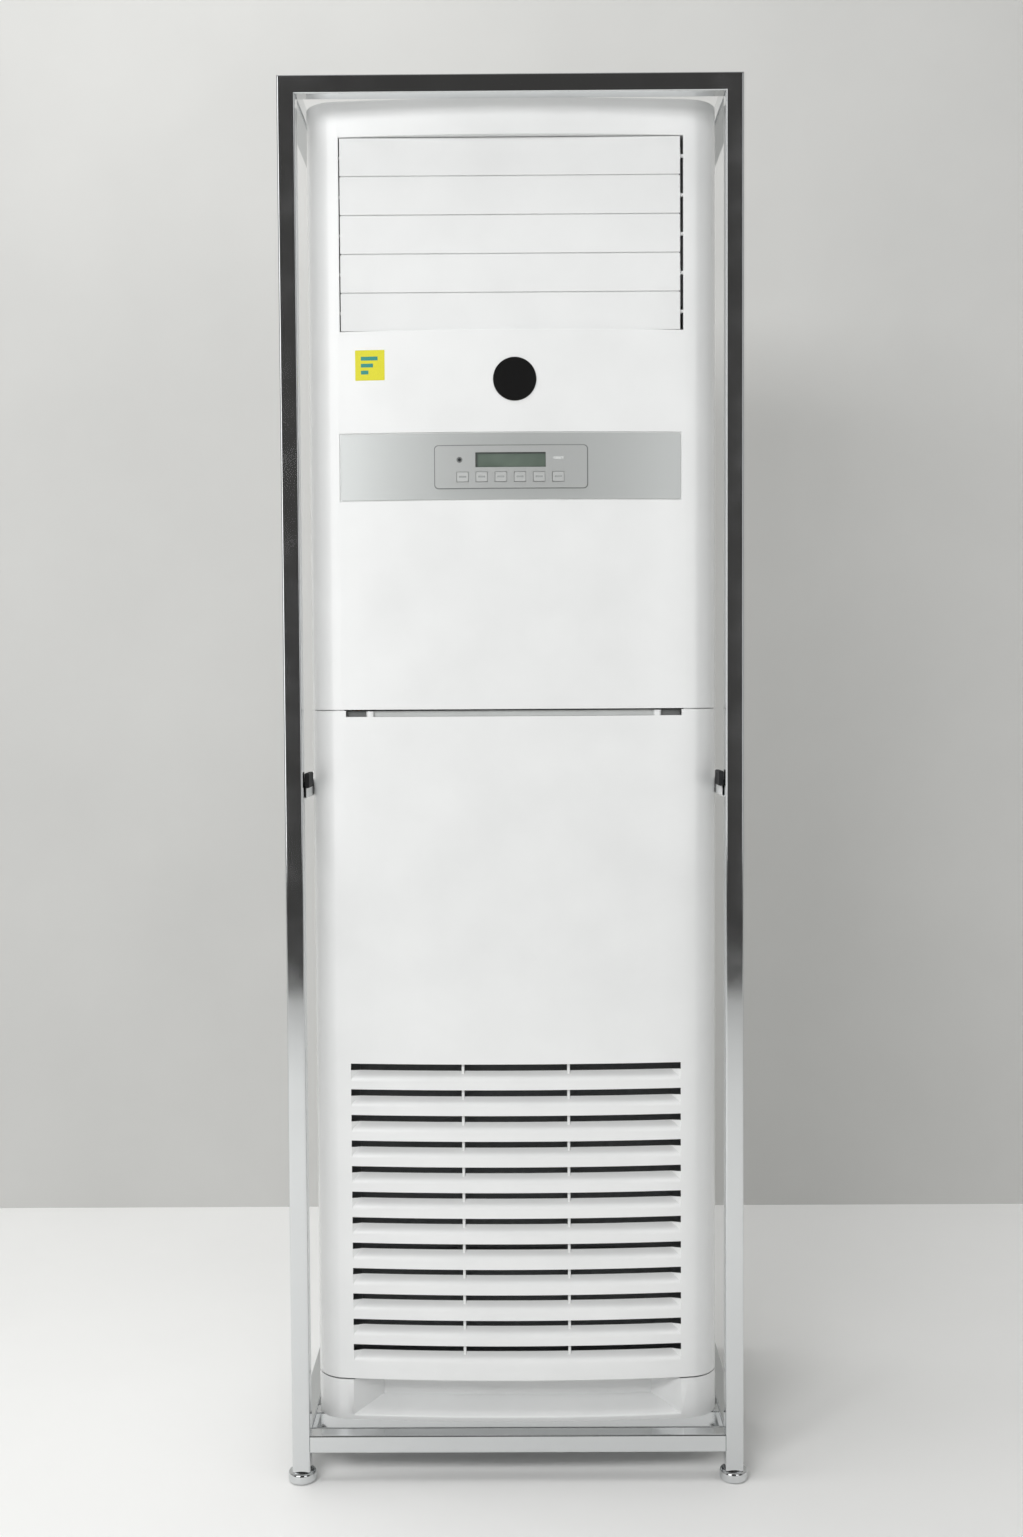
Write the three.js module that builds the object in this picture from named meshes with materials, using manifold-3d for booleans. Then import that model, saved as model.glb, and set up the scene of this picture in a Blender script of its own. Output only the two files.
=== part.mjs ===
// Floor standing air conditioner in a polished square-tube cage.
// Millimetres, +Z up, the front faces -Y, the origin lies on the floor under the middle.
import * as THREE from 'three';
import { mergeVertices } from 'three/addons/utils/BufferGeometryUtils.js';
import Module from 'manifold-3d';

const wasm = await Module();
wasm.setup();

// ---------------------------------------------------------------- driving dimensions
const SEAT = 0.3;                 // clearance between pieces that rest on or in each other

// cabinet
const CASE_W = 573;               // width over the side panels
const CASE_D = 395;               // depth from the middle of the front to the back
const CASE_H = 1849;              // height
const BOW_RISE = 11;              // how far the middle of the front stands proud
const COLUMN_W = 51.5;            // from the cabinet's side to the end of the bow's chord
const CORNER_R = 46;              // rounded front corners, seen from above
const SHELL = 2.5;                // wall of the moulded front parts
const SHEET = 1;                  // steel sheet of the sides and back
const FLANGE = 16;                // turned-in edges of the side panels
const PAN_T = 1.5;
const PAN_FLANGE = 25;
const BEAD = 3;                   // how far the rear panel's stiffening beads stand out
const BEAD_HALF = 14;
const PORT_R = 12;
const WING_D = 68;                // depth of the moulded front parts, back from the front face
const EDGE_GROOVE = 0.5;          // depth of the fine groove where bow and corner meet

// cage
const TUBE = 25;                  // square tube
const TUBE_WALL = 1.5;
const TUBE_EDGE_R = 2.5;
const SIDE_GAP = 3.5;             // from the cabinet's side to the cage's inner face
const FRONT_GAP = 17;             // from the cabinet's front to the front tubes
const REAR_GAP = 18;              // from the cabinet's back to the rear tubes
const CAGE_RISE = 17.7;           // cage above the cabinet's top
const BOTTOM_RAIL_Z = 43;         // underside of the bottom rails
const MID_RAIL_Z = 970;           // middle of the black side rails
const CROSS_BAR_IN = 47.5;        // cabinet's front or back to the bars that carry it
const FOOT_R = 20;
const FOOT_H = 15.7;
const FOOT_STEM = 22;             // height of the plug inside the tube

// horizontal seams, up from the floor
const PLINTH_TOP = 129.6;         // middle of the seam above the plinth
const PLINTH_SEAM = 2;            // its width, which lets the lower panel tip
const MID_SEAM_Z = 1079.4;        // middle of the seam between the front panels
const MID_SEAM = 1.5;

// outlet, measured down from the top
const OUTLET_IN = 48.5;           // cabinet's side to the outlet's end
const OUTLET_H = 265.2;
const OUTLET_TOP = 48.6;          // cabinet's top to the outlet's upper edge
const OUTLET_R = 2;
const OUTLET_WALL = 2.5;
const OUTLET_DEPTH = 112;         // how far back the frame reaches behind the bow's ends
const LOUVRES = 5;
const LOUVRE_T = 4;
const LOUVRE_EDGE_T = 1.6;
const LOUVRE_GAP = 1.6;           // between neighbouring blades
const LOUVRE_SET = 1;             // louvre face behind the ends of the bow
const PIVOT_BACK = 4;             // pivots behind the blade's middle plane
const LOUVRE_END_LEFT = 1.5;      // blade's end to the frame's wall
const LOUVRE_END_RIGHT = 4.5;     // wider, because the cranks and their link run here
const PIVOT_R = 2.5;
const CRANK = 18;
const CRANK_ANGLE = 42.5 * Math.PI / 180;
const CRANK_T = 1.2;
const CHEEK_T = 3;                // a blade's end cheek, which carries its pivot
const CRANK_PIN_R = 1.5;
const LINK_T = 1.8;
const LINK_HALF_W = 3.5;
const LOUVRE_MOTOR_R = 12;
const MOTOR_OFFSET = 14;          // motor's body behind its shaft
const VANES = 4;
const VANE_DEPTH = 60;
const VANE_HALF_T = 1.4;
const VANE_CRANK = 25;
const VANE_FOOT = 14;             // blade's lower end above the frame's floor
const VANE_GAP = 14;              // turning room between louvres and vanes

// control band
const BAND_IN = 49.5;             // cabinet's side to the end of the silver strip
const BAND_DROP = 139.8;          // outlet's lower edge to the strip's top
const BAND_H = 92.3;
const BAND_FLOOR = 2;             // depth of the recess that takes the silver strip
const BAND_BACK = 5;              // back of the thickened wall behind it
const BAND_T = 1.5;
const PLATE_W = 213;
const PLATE_UP = 15.8;            // plate above the strip's lower edge
const PLATE_H = 58.4;
const PLATE_RAISE = 1.6;
const PLATE_R = 3;
const MODULE_MARGIN = 6.5;        // plate's edge beyond the module behind it
const MODULE_BACK = 7;
const LCD_X0 = -52;
const LCD_X1 = 47;
const LCD_UP = 28.2;              // display, receiver and buttons above the plate's lower edge
const LCD_H = 20.6;
const LCD_SINK = 0.6;
const LCD_T = 1.6;
const LENS_X = -73;
const LENS_UP = 38.8;
const LENS_R = 3;
const BUTTONS = 6;
const BUTTON_X0 = -68.8;
const BUTTON_PITCH = 26.48;
const BUTTON_UP = 14.1;
const BUTTON_W = 15.6;
const BUTTON_H = 13;
const BUTTON_R = 2.5;
const BUTTON_PROUD = 0.8;
const BUTTON_DEPTH = 6;

// intake grille
const SLOTS = 12;
const SLOT_PITCH = 36.65;
const SLOT_H = 21;
const SLOT_IN = 53.5;             // cabinet's side to the ends of the slots
const SLOT_LOWEST = 26.75;        // lowest slot's bottom above the plinth seam
const SLAT_T = 2.5;
const SLAT_D = 20.7;              // front to back
const SLAT_RISE = 5.7;            // rear edge above the front edge
const RIB_W = 4;
const RIB_X = 74.5;
const GRIP_IN = 51.5;             // cabinet's side to the ends of the finger slot above the grille
const GRIP_H = 8.5;
const GRIP_DEPTH = 14;
const CATCH_X = 200;
const CATCH_W = 26;

// tipping hinge and filter
const HINGE_BACK = 18;            // axis behind the middle of the front
const HINGE_UP = 5.4;             // axis above the middle of the plinth seam
const HINGE_PIN_R = 2;
const HINGE_CLEAR = 0.3;
const FILTER_T = 5;
const FILTER_MESH_T = 0.8;
const FILTER_FRAME = 14;
const FILTER_BAYS = 3;            // mesh windows across and up
const RUNNER_LIP = 9;
const RUNNER_TOP = 440;           // runner beyond the filter's top, for drawing it up

// plinth recess
const RECESS_IN = 53;             // cabinet's side to the recess's ends
const RECESS_LOW = 7.2;           // lip height above the plinth's bottom
const RECESS_D = 48;
const RECESS_NARROW = 28;         // how much each end draws in towards the back
const RECESS_RAMP = 25;           // how much the floor rises towards the back
const RECESS_HEAD = 6.6;          // recess's ceiling below the seam

// fan
const FAN_R = 165;
const FAN_DEPTH = 115;
const FAN_EYE_R = 142;
const BLADES = 28;
const BLADE_T = 1.2;
const SCROLL_WALL = 1.5;
const SCROLL_GAP = 17;            // wheel to the scroll's tongue
const SCROLL_GROW = 80;           // how much the scroll widens round the wheel
const SCROLL_SIDE = 5;            // wheel to the scroll's flat walls
const SCROLL_RISE = 268;          // outlet of the scroll above the fan's axis
const FAN_MID_Y = -37;            // middle of the wheel, front to back
const SHAFT_R = 6;
const HUB_R = 18;
const HUB_LEN = 52;
const MOTOR_R = 58;
const MOTOR_LEN = 76;

// coil, tray and pipes
const TRAY_Z = 1098;
const TRAY_T = 2;
const TRAY_H = 32;
const TRAY_REAR = 45;
const DRAIN_R = 10;
const DRAIN_LEN = 28;
const DRAIN_IN = 40;              // drain's middle from the tray's right end
const DRAIN_REAR = 20;            // and from its rear edge
const COIL_IN = 46.5;             // cabinet's side to the coil's end plates
const COIL_T = 60;
const COIL_ROOM = 140;            // free height over the coil
const COIL_LEAN = 14 * Math.PI / 180;
const COIL_FOOT_Y = -40;
const FINS = 14;
const FIN_T = 2;
const FIN_STEP = 25;              // how far the fins stand out of the core on each side
const BENDS = 4;                  // hairpin ends on the right, tube ends on the left
const BEND_R = 12;
const BEND_TUBE_R = 5;
const HEADER_R = 8;
const HEADER_OUT = 14;            // header's middle outside the coil's plate
const GAS_R = 8;
const LIQUID_R = 4.8;
const PIPE_BEND = 40;
const PIPE_PORT_Z = 185;
const GAS_START = 110;            // where each pipe leaves the header, above the tray
const LIQUID_START = 66;
const GAS_DROP = 32;              // how far in front of the back each pipe comes down
const LIQUID_DROP = 62;
const GAS_PORT = 18;              // each pipe's exit above or below the port's middle
const LIQUID_PORT = -20;
const NUT = 1.7;                  // flare nut's radius over the pipe's
const PORT_W = 34;
const PORT_H = 90;
const BOX_W = 175;
const BOX_H = 210;
const BOX_D = 80;

// ---------------------------------------------------------------- derived places
const HALF = CASE_W / 2;
const OUTLET_W = CASE_W - 2 * OUTLET_IN;
const BAND_W = CASE_W - 2 * BAND_IN;
const SLOT_W = CASE_W - 2 * SLOT_IN;
const GRIP_W = CASE_W - 2 * GRIP_IN;
const RECESS_W = CASE_W - 2 * RECESS_IN;
const COIL_W = CASE_W - 2 * COIL_IN;
const CROSS_BAR_Y = CASE_D / 2 - CROSS_BAR_IN;
const IN_HALF = HALF + SIDE_GAP;                     // cage's inner half width
const OUT_HALF = IN_HALF + TUBE;
const CAGE_D = CASE_D + FRONT_GAP + REAR_GAP + 2 * TUBE;
const CAGE_FRONT = -CAGE_D / 2;
const CAGE_BACK = CAGE_D / 2;
const FRONT_Y = CAGE_FRONT + TUBE + FRONT_GAP;       // middle of the cabinet's front
const BACK_Y = FRONT_Y + CASE_D;
const WING_Y = FRONT_Y + WING_D;
const CASE_LOW = BOTTOM_RAIL_Z + TUBE + SEAT;
const CASE_TOP = CASE_LOW + CASE_H;
const CAGE_TOP = CASE_TOP + CAGE_RISE;
const BOW_HALF = HALF - COLUMN_W;
const BOW_R = (BOW_HALF ** 2 + BOW_RISE ** 2) / (2 * BOW_RISE);
const BOW_CENTRE_Y = FRONT_Y + BOW_R;
const BOW_END = (HALF - CORNER_R) / (1 - CORNER_R / BOW_R);   // x where bow and corner meet
const BOW_ANGLE = Math.asin(BOW_END / BOW_R);
const CORNER_Y = BOW_CENTRE_Y - (BOW_R - CORNER_R) * Math.cos(BOW_ANGLE);

// ---------------------------------------------------------------- solids
const ROUND = 16;                 // sides of small round pieces
const PIN_SIDES = 10;             // sides of pins and of the holes they turn in
const BAR_END_STEPS = 2;          // rounding of a flat bar's ends
const pieces = [];

function solid(geometry) {
  const bare = geometry.index ? geometry.toNonIndexed() : geometry.clone();
  bare.deleteAttribute('normal');
  bare.deleteAttribute('uv');
  const merged = mergeVertices(bare, 1e-4);
  return new wasm.Manifold(new wasm.Mesh({
    numProp: 3,
    vertProperties: new Float32Array(merged.attributes.position.array),
    triVerts: new Uint32Array(merged.index.array),
  }));
}

const join = (...parts) => parts.reduce((sum, next) => sum.add(next));
const cut = (body, ...tools) => tools.reduce((rest, tool) => rest.subtract(tool), body);

function geometryOf(manifold) {
  const mesh = manifold.getMesh();
  const geometry = new THREE.BufferGeometry();
  geometry.setAttribute('position', new THREE.BufferAttribute(mesh.vertProperties, 3));
  geometry.setIndex(new THREE.BufferAttribute(mesh.triVerts, 1));
  geometry.computeVertexNormals();
  return geometry;
}

function add(name, manifold, material) {
  const mesh = new THREE.Mesh(geometryOf(manifold), material);
  mesh.name = name;
  pieces.push(mesh);
}

function box(x0, x1, y0, y1, z0, z1) {
  const geometry = new THREE.BoxGeometry(x1 - x0, y1 - y0, z1 - z0);
  return solid(geometry.translate((x0 + x1) / 2, (y0 + y1) / 2, (z0 + z1) / 2));
}

// A shape drawn in a plane and drawn out along the named axis: 'x' takes (y, z) outlines,
// 'y' takes (x, z) outlines and 'z' takes (x, y) outlines. An arc gets two facets per step.
function prism(axis, shape, from, to, arcSteps = 1) {
  const outline = shape instanceof THREE.Shape ? shape : polygon(shape);
  const geometry = new THREE.ExtrudeGeometry(outline, {
    depth: to - from, bevelEnabled: false, curveSegments: arcSteps,
  });
  if (axis === 'x') {
    const turn = new THREE.Matrix4().makeBasis(
      new THREE.Vector3(0, 1, 0), new THREE.Vector3(0, 0, 1), new THREE.Vector3(1, 0, 0));
    return solid(geometry.applyMatrix4(turn).translate(from, 0, 0));
  }
  if (axis === 'y') return solid(geometry.rotateX(Math.PI / 2).translate(0, to, 0));
  return solid(geometry.translate(0, 0, from));
}

function polygon(points) {
  return new THREE.Shape(points.map(([a, b]) => new THREE.Vector2(a, b)));
}

function roundedRect(u0, u1, v0, v1, radius) {
  const shape = new THREE.Shape();
  shape.moveTo(u0 + radius, v0);
  shape.lineTo(u1 - radius, v0);
  shape.absarc(u1 - radius, v0 + radius, radius, -Math.PI / 2, 0);
  shape.lineTo(u1, v1 - radius);
  shape.absarc(u1 - radius, v1 - radius, radius, 0, Math.PI / 2);
  shape.lineTo(u0 + radius, v1);
  shape.absarc(u0 + radius, v1 - radius, radius, Math.PI / 2, Math.PI);
  shape.lineTo(u0, v0 + radius);
  shape.absarc(u0 + radius, v0 + radius, radius, Math.PI, 1.5 * Math.PI);
  return shape;
}

// A round bar along an axis through (u, v), which are the two other coordinates in order.
function rod(axis, u, v, radius, from, to, sides = ROUND) {
  const geometry = new THREE.CylinderGeometry(radius, radius, to - from, sides);
  const middle = (from + to) / 2;
  if (axis === 'x') return solid(geometry.rotateZ(-Math.PI / 2).translate(middle, u, v));
  if (axis === 'y') return solid(geometry.translate(u, middle, v));
  return solid(geometry.rotateX(Math.PI / 2).translate(u, v, middle));
}

// A span of x given for the right side, on the right (1) or mirrored to the left (-1).
const onSide = (side) => (a, b) => (side > 0 ? [a, b] : [-b, -a]);

// A turned piece: (radius, height) points spun round an axis through (u, v).
function turned(axis, u, v, points, sides = 32) {
  const profile = points.map(([radius, height]) => new THREE.Vector2(radius, height));
  const geometry = new THREE.LatheGeometry(profile, sides);
  if (axis === 'y') return solid(geometry.translate(u, 0, v));
  return solid(geometry.rotateX(Math.PI / 2).translate(u, v, 0));
}

// ---------------------------------------------------------------- the bowed front
const BOW_STEPS = 6;
const CORNER_STEPS = 5;

function bowPoint(x, inset) {
  return [x, BOW_CENTRE_Y - Math.sqrt((BOW_R - inset) ** 2 - x * x)];
}

// The bow's facets break at the same places in every piece that follows it.
const BOW_BREAKS = Array.from({ length: BOW_STEPS + 1 },
  (_, i) => (BOW_END - 1) * (2 * i / BOW_STEPS - 1));
const breaksBetween = (x0, x1) =>
  [x0, ...BOW_BREAKS.filter((x) => x > x0 + 1 && x < x1 - 1), x1];

// The front seen from above, from the left wing's end round to the right one's.
function frontPath(inset, groove = 0) {
  const right = [];
  for (const x of breaksBetween(0, BOW_END - 1)) right.push(bowPoint(x, inset));
  if (groove) right.push(bowPoint(BOW_END - 0.5, inset + groove));
  for (let i = 0; i <= CORNER_STEPS; i++) {
    const angle = BOW_ANGLE + (Math.PI / 2 - BOW_ANGLE) * i / CORNER_STEPS;
    const radius = CORNER_R - inset;
    const x = HALF - CORNER_R + radius * Math.sin(angle);
    right.push([x, CORNER_Y - radius * Math.cos(angle)]);
  }
  right.push([HALF - inset, WING_Y]);
  const left = right.slice(1).reverse().map(([x, y]) => [-x, y]);
  return [...left, ...right];
}

function frontShell(low, high, groove = EDGE_GROOVE) {
  const outer = frontPath(0, groove);
  const inner = frontPath(SHELL).reverse();
  return prism('z', [...outer, ...inner], low, high);
}

// Everything behind the front at a given inset, out to the wings' ends.
const behindFront = (inset, low, high) => prism('z', frontPath(inset), low, high);

// A strip that follows the bow between two insets.
function bowStrip(x0, x1, outer, inner, low, high) {
  const along = breaksBetween(x0, x1);
  const front = along.map((x) => bowPoint(x, outer));
  const back = along.map((x) => bowPoint(x, inner)).reverse();
  return prism('z', [...front, ...back], low, high);
}

// The plate that closes the cabinet above or below: inside the moulded front, over the sheets.
function deck(low, high) {
  const front = behindFront(SHELL + SEAT, low, high);
  return join(front, box(-HALF, HALF, WING_Y + SEAT, BACK_Y, low, high),
    box(-HALF + SHELL + SEAT, HALF - SHELL - SEAT, WING_Y - 1, WING_Y + 1, low, high));
}

// ---------------------------------------------------------------- materials
const finish = (color, roughness, metalness = 0) =>
  new THREE.MeshStandardMaterial({ color, roughness, metalness });
const polishedSteel = finish(0xc9cbcc, 0.12, 1);
const blackRubber = finish(0x18191a, 0.7);
const whitePlastic = finish(0xeceded, 0.3);
const whitePaint = finish(0xe6e8e8, 0.4);
const silverPaint = finish(0xb9bdc0, 0.35, 0.6);
const greyPlastic = finish(0xb4b8ba, 0.4);
const darkPlastic = finish(0x2c2f31, 0.5);
const lcdGlass = finish(0x7f9088, 0.15);
const zincSteel = finish(0x9ea3a5, 0.4, 0.9);
const copper = finish(0xb87348, 0.3, 1);
const aluminium = finish(0xc4c8cb, 0.35, 0.9);
const foamWhite = finish(0xe9eaea, 0.8);

// ---------------------------------------------------------------- cage
// Square tube along an axis; (u0, v0) is the low corner of its section.
function tube(axis, u0, v0, from, to, width = TUBE) {
  const shape = roundedRect(u0, u0 + width, v0, v0 + TUBE, TUBE_EDGE_R);
  const bore = new THREE.Path();
  const [b0, b1] = [u0 + width - TUBE + TUBE_WALL, u0 + width - TUBE_WALL];
  const [c0, c1] = [v0 + TUBE_WALL, v0 + TUBE - TUBE_WALL];
  bore.moveTo(b0, c0).lineTo(b0, c1).lineTo(b1, c1).lineTo(b1, c0).closePath();
  shape.holes.push(bore);
  return prism(axis, shape, from, to);
}

// Everything on the far side of a top corner's mitre, which runs up and out at 45 degrees.
function mitreTool(side, keepUpright) {
  const reach = 3 * TUBE;
  const shift = (keepUpright ? 1 : -1) * SEAT / 2 * Math.SQRT1_2;
  const inner = [side * (IN_HALF + shift), CAGE_TOP - TUBE - shift];
  const up = [side * reach, reach];
  const a = [inner[0] - up[0], inner[1] - up[1]];
  const b = [inner[0] + up[0], inner[1] + up[1]];
  const off = keepUpright ? [-side * reach, reach] : [side * reach, -reach];
  const corners = [a, b, [b[0] + off[0], b[1] + off[1]], [a[0] + off[0], a[1] + off[1]]];
  return prism('y', corners, CAGE_FRONT - TUBE, CAGE_BACK + TUBE);
}

function cage() {
  const topZ = CAGE_TOP - TUBE;
  for (const [where, y] of [['front', CAGE_FRONT], ['rear', CAGE_BACK - TUBE]]) {
    for (const [hand, side] of [['left', -1], ['right', 1]]) {
      const x = side < 0 ? -OUT_HALF : IN_HALF;
      const upright = tube('z', x, y, FOOT_H + SEAT, CAGE_TOP);
      add(`upright_${where}_${hand}`, cut(upright, mitreTool(side, true)), polishedSteel);
      add(`foot_${where}_${hand}`, foot(x + TUBE / 2, y + TUBE / 2), polishedSteel);
    }
    add(`top_rail_${where}`, mitredRail(y, topZ), polishedSteel);
    const bottom = tube('x', y, BOTTOM_RAIL_Z, -IN_HALF, IN_HALF);
    add(`bottom_rail_${where}`, bottom, polishedSteel);
  }
  const [near, far] = [CAGE_FRONT + TUBE, CAGE_BACK - TUBE];
  for (const [hand, side] of [['left', -1], ['right', 1]]) {
    const x = side < 0 ? -OUT_HALF : IN_HALF;
    add(`top_rail_${hand}`, tube('y', x, topZ, near, far), polishedSteel);
    add(`bottom_rail_${hand}`, tube('y', x, BOTTOM_RAIL_Z, near, far), polishedSteel);
    add(`mid_rail_${hand}`, midRail(side, near, far), blackRubber);
  }
  for (const [where, y] of [['front', -CROSS_BAR_Y], ['rear', CROSS_BAR_Y]]) {
    const bar = tube('x', y - TUBE / 2, BOTTOM_RAIL_Z, -IN_HALF, IN_HALF);
    add(`cross_bar_${where}`, bar, polishedSteel);
  }
}

// Top rails meet the uprights in mitres; bottom rails butt between them.
function mitredRail(y, z) {
  const rail = tube('x', y, z, -OUT_HALF, OUT_HALF);
  return cut(rail, mitreTool(-1, false), mitreTool(1, false));
}

// The black side rail is thicker inwards, where its cover bears on the cabinet's side.
function midRail(side, near, far) {
  const width = TUBE + SIDE_GAP - SEAT;
  const rail = tube('y', HALF + SEAT, MID_RAIL_Z - TUBE / 2, near, far, width);
  return side < 0 ? rail.mirror([1, 0, 0]) : rail;
}

// A pressed cap: a round-edged disc under the tube and a plug inside it.
function foot(x, y) {
  const plug = TUBE / 2 - TUBE_WALL - SEAT;
  return turned('z', x, y, [
    [0, 0], [FOOT_R - 4, 0], [FOOT_R - 1.2, 1.2], [FOOT_R, 4],
    [FOOT_R, FOOT_H - 2.6], [FOOT_R - 2.6, FOOT_H],
    [plug, FOOT_H], [plug, FOOT_H + FOOT_STEM],
    [0, FOOT_H + FOOT_STEM],
  ], 18);
}

// ---------------------------------------------------------------- sheet steel cabinet
function basePan() {
  const low = CASE_LOW + PAN_T - 0.1;
  const [x, near, far] = [HALF - SHEET - SEAT, WING_Y + 2 * SEAT + SHEET, BACK_Y - 2 * (SHEET + SEAT)];
  const rim = cut(box(-x, x, near, far, low, CASE_LOW + PAN_FLANGE),
    box(-x + PAN_T, x - PAN_T, near + PAN_T, far - PAN_T, low, CASE_LOW + PAN_FLANGE + 1));
  return join(deck(CASE_LOW, CASE_LOW + PAN_T), rim);
}

function topCover() {
  const low = CASE_TOP - SHELL;
  const [x, near, far] = [HALF - SHEET - SEAT, WING_Y + 2 * SEAT + SHEET, BACK_Y - 2 * (SHEET + SEAT)];
  const rim = cut(box(-x, x, near, far, CASE_TOP - PAN_FLANGE, low + 0.1),
    box(-x + PAN_T, x - PAN_T, near + PAN_T, far - PAN_T, CASE_TOP - PAN_FLANGE - 1, low + 1));
  return join(deck(low, CASE_TOP), rim);
}

// One folded sheet: a flange behind the moulded front, the side, and a flange at the back.
function sidePanel(side) {
  const [near, far] = [WING_Y + SEAT, BACK_Y - SHEET - SEAT];
  const outline = [
    [HALF, near], [HALF, far], [HALF - FLANGE, far], [HALF - FLANGE, far - SHEET],
    [HALF - SHEET, far - SHEET], [HALF - SHEET, near + SHEET],
    [HALF - FLANGE, near + SHEET], [HALF - FLANGE, near],
  ];
  const panel = prism('z', outline, CASE_LOW + PAN_T + SEAT, CASE_TOP - SHELL - SEAT);
  return side < 0 ? panel.mirror([1, 0, 0]) : panel;
}

// Back sheet with two pressed stiffening beads and the pipes' port.
function rearPanel() {
  const outline = [];
  for (const x of [-HALF / 2, HALF / 2]) {
    outline.push([x - BEAD_HALF, BACK_Y], [x - BEAD_HALF + 2 * BEAD, BACK_Y + BEAD],
      [x + BEAD_HALF - 2 * BEAD, BACK_Y + BEAD], [x + BEAD_HALF, BACK_Y]);
  }
  const back = [[-HALF, BACK_Y], ...outline, [HALF, BACK_Y]];
  const inner = back.map(([x, y]) => [x, y - SHEET]).reverse();
  const sheet = prism('z', [...back, ...inner], CASE_LOW + PAN_T + SEAT, CASE_TOP - SHELL - SEAT);
  const port = roundedRect(PORT_X - PORT_W / 2, PORT_X + PORT_W / 2,
    PIPE_PORT_Z - PORT_H / 2, PIPE_PORT_Z + PORT_H / 2, PORT_R);
  return cut(sheet, prism('y', port, BACK_Y - 10, BACK_Y + 10));
}

// ---------------------------------------------------------------- moulded front
const OUTLET_Z1 = CASE_TOP - OUTLET_TOP;
const OUTLET_Z0 = OUTLET_Z1 - OUTLET_H;
const BAND_HIGH = OUTLET_Z0 - BAND_DROP;
const BAND_LOW = BAND_HIGH - BAND_H;
const PLATE_LOW = BAND_LOW + PLATE_UP;
const PLATE_HIGH = PLATE_LOW + PLATE_H;
const LCD_LOW = PLATE_LOW + LCD_UP;
const LCD_HIGH = LCD_LOW + LCD_H;
const LENS_Z = PLATE_LOW + LENS_UP;
const BUTTON_Z = PLATE_LOW + BUTTON_UP;
const PLINTH_LOW_TOP = PLINTH_TOP - PLINTH_SEAM / 2;
const LOWER_LOW = PLINTH_TOP + PLINTH_SEAM / 2;
const LOWER_HIGH = MID_SEAM_Z - MID_SEAM / 2;
const UPPER_LOW = MID_SEAM_Z + MID_SEAM / 2;
const MODULE_HALF = PLATE_W / 2 - MODULE_MARGIN;
const MODULE_LOW = PLATE_LOW + MODULE_MARGIN;
const MODULE_HIGH = PLATE_HIGH - MODULE_MARGIN;
const HINGE_Y = FRONT_Y + HINGE_BACK;
const HINGE_Z = PLINTH_TOP + HINGE_UP;

function upperFrontPanel() {
  const outlet = roundedRect(-OUTLET_W / 2, OUTLET_W / 2, OUTLET_Z0, OUTLET_Z1, OUTLET_R);
  const wall = join(frontShell(UPPER_LOW, CASE_TOP),
    bowStrip(-BOW_END + 2, BOW_END - 2, BAND_FLOOR, BAND_BACK, BAND_LOW - 5, BAND_HIGH + 5));
  return cut(wall,
    prism('y', outlet, FRONT_Y - 10, WING_Y),
    bowStrip(-BAND_W / 2 - SEAT, BAND_W / 2 + SEAT, -1, BAND_FLOOR, BAND_LOW - SEAT, BAND_HIGH + SEAT),
    box(-MODULE_HALF - SEAT, MODULE_HALF + SEAT, FRONT_Y - 5, FRONT_Y + 20,
      MODULE_LOW - SEAT, MODULE_HIGH + SEAT));
}

const SLOT_Z0 = PLINTH_TOP + SLOT_LOWEST;
const slotLow = (k) => SLOT_Z0 + k * SLOT_PITCH;
const GRILLE_TOP = slotLow(SLOTS - 1) + SLOT_H;
const RUNNER_X = SLOT_W / 2 + 3.3;
const FILTER_Y = FRONT_Y + BOW_RISE + SLAT_D + 1.5;
const FILTER_LOW = SLOT_Z0 - 7;
const FILTER_HIGH = GRILLE_TOP + 12;

// A slat runs back and up from a slot's lower edge, following the bow.
function slat(z) {
  const half = RUNNER_X + 1;
  const along = breaksBetween(-half, half);
  const front = along.map((x) => bowPoint(x, 1));
  const back = along.map((x) => bowPoint(x, SLAT_D)).reverse();
  const geometry = new THREE.ExtrudeGeometry(polygon([...front, ...back]),
    { depth: SLAT_T, bevelEnabled: false });
  const place = geometry.attributes.position;
  for (let i = 0; i < place.count; i++) {
    const [x, y] = [place.getX(i), place.getY(i)];
    const depth = y - bowPoint(x, 0)[1];
    place.setZ(i, place.getZ(i) + z - SLAT_T + depth * SLAT_RISE / SLAT_D);
  }
  return solid(geometry);
}

function lowerFrontPanel() {
  let panel = frontShell(LOWER_LOW, LOWER_HIGH);
  const half = SLOT_W / 2;
  const bays = [[-half, -RIB_X - RIB_W / 2], [-RIB_X + RIB_W / 2, RIB_X - RIB_W / 2],
    [RIB_X + RIB_W / 2, half]];
  const slots = [];
  const slats = [];
  for (let k = 0; k < SLOTS; k++) {
    const z = slotLow(k);
    for (const [x0, x1] of bays) slots.push(box(x0, x1, FRONT_Y - 5, FRONT_Y + 18, z, z + SLOT_H));
    slats.push(slat(z));
  }
  const grip = GRIP_W / 2;
  const ledge = LOWER_HIGH - GRIP_H;
  panel = cut(panel, ...slots, box(-grip, grip, FRONT_Y - 5, FRONT_Y + 18, ledge, LOWER_HIGH + 1));
  panel = join(panel, ...slats,
    bowStrip(-grip - 2, grip + 2, 0.5, GRIP_DEPTH, ledge - SHELL, ledge),
    bowStrip(-grip - 2, grip + 2, GRIP_DEPTH - SHELL, GRIP_DEPTH, ledge - SHELL, LOWER_HIGH - 0.6));
  for (const side of [-1, 1]) {
    panel = join(panel, ...panelFittings(side, ledge));
  }
  for (const side of [-1, 1]) {
    panel = cut(panel, rod('x', HINGE_Y, HINGE_Z, HINGE_PIN_R + HINGE_CLEAR,
      side * half - 12, side * half + 12));
  }
  return panel;
}

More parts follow.
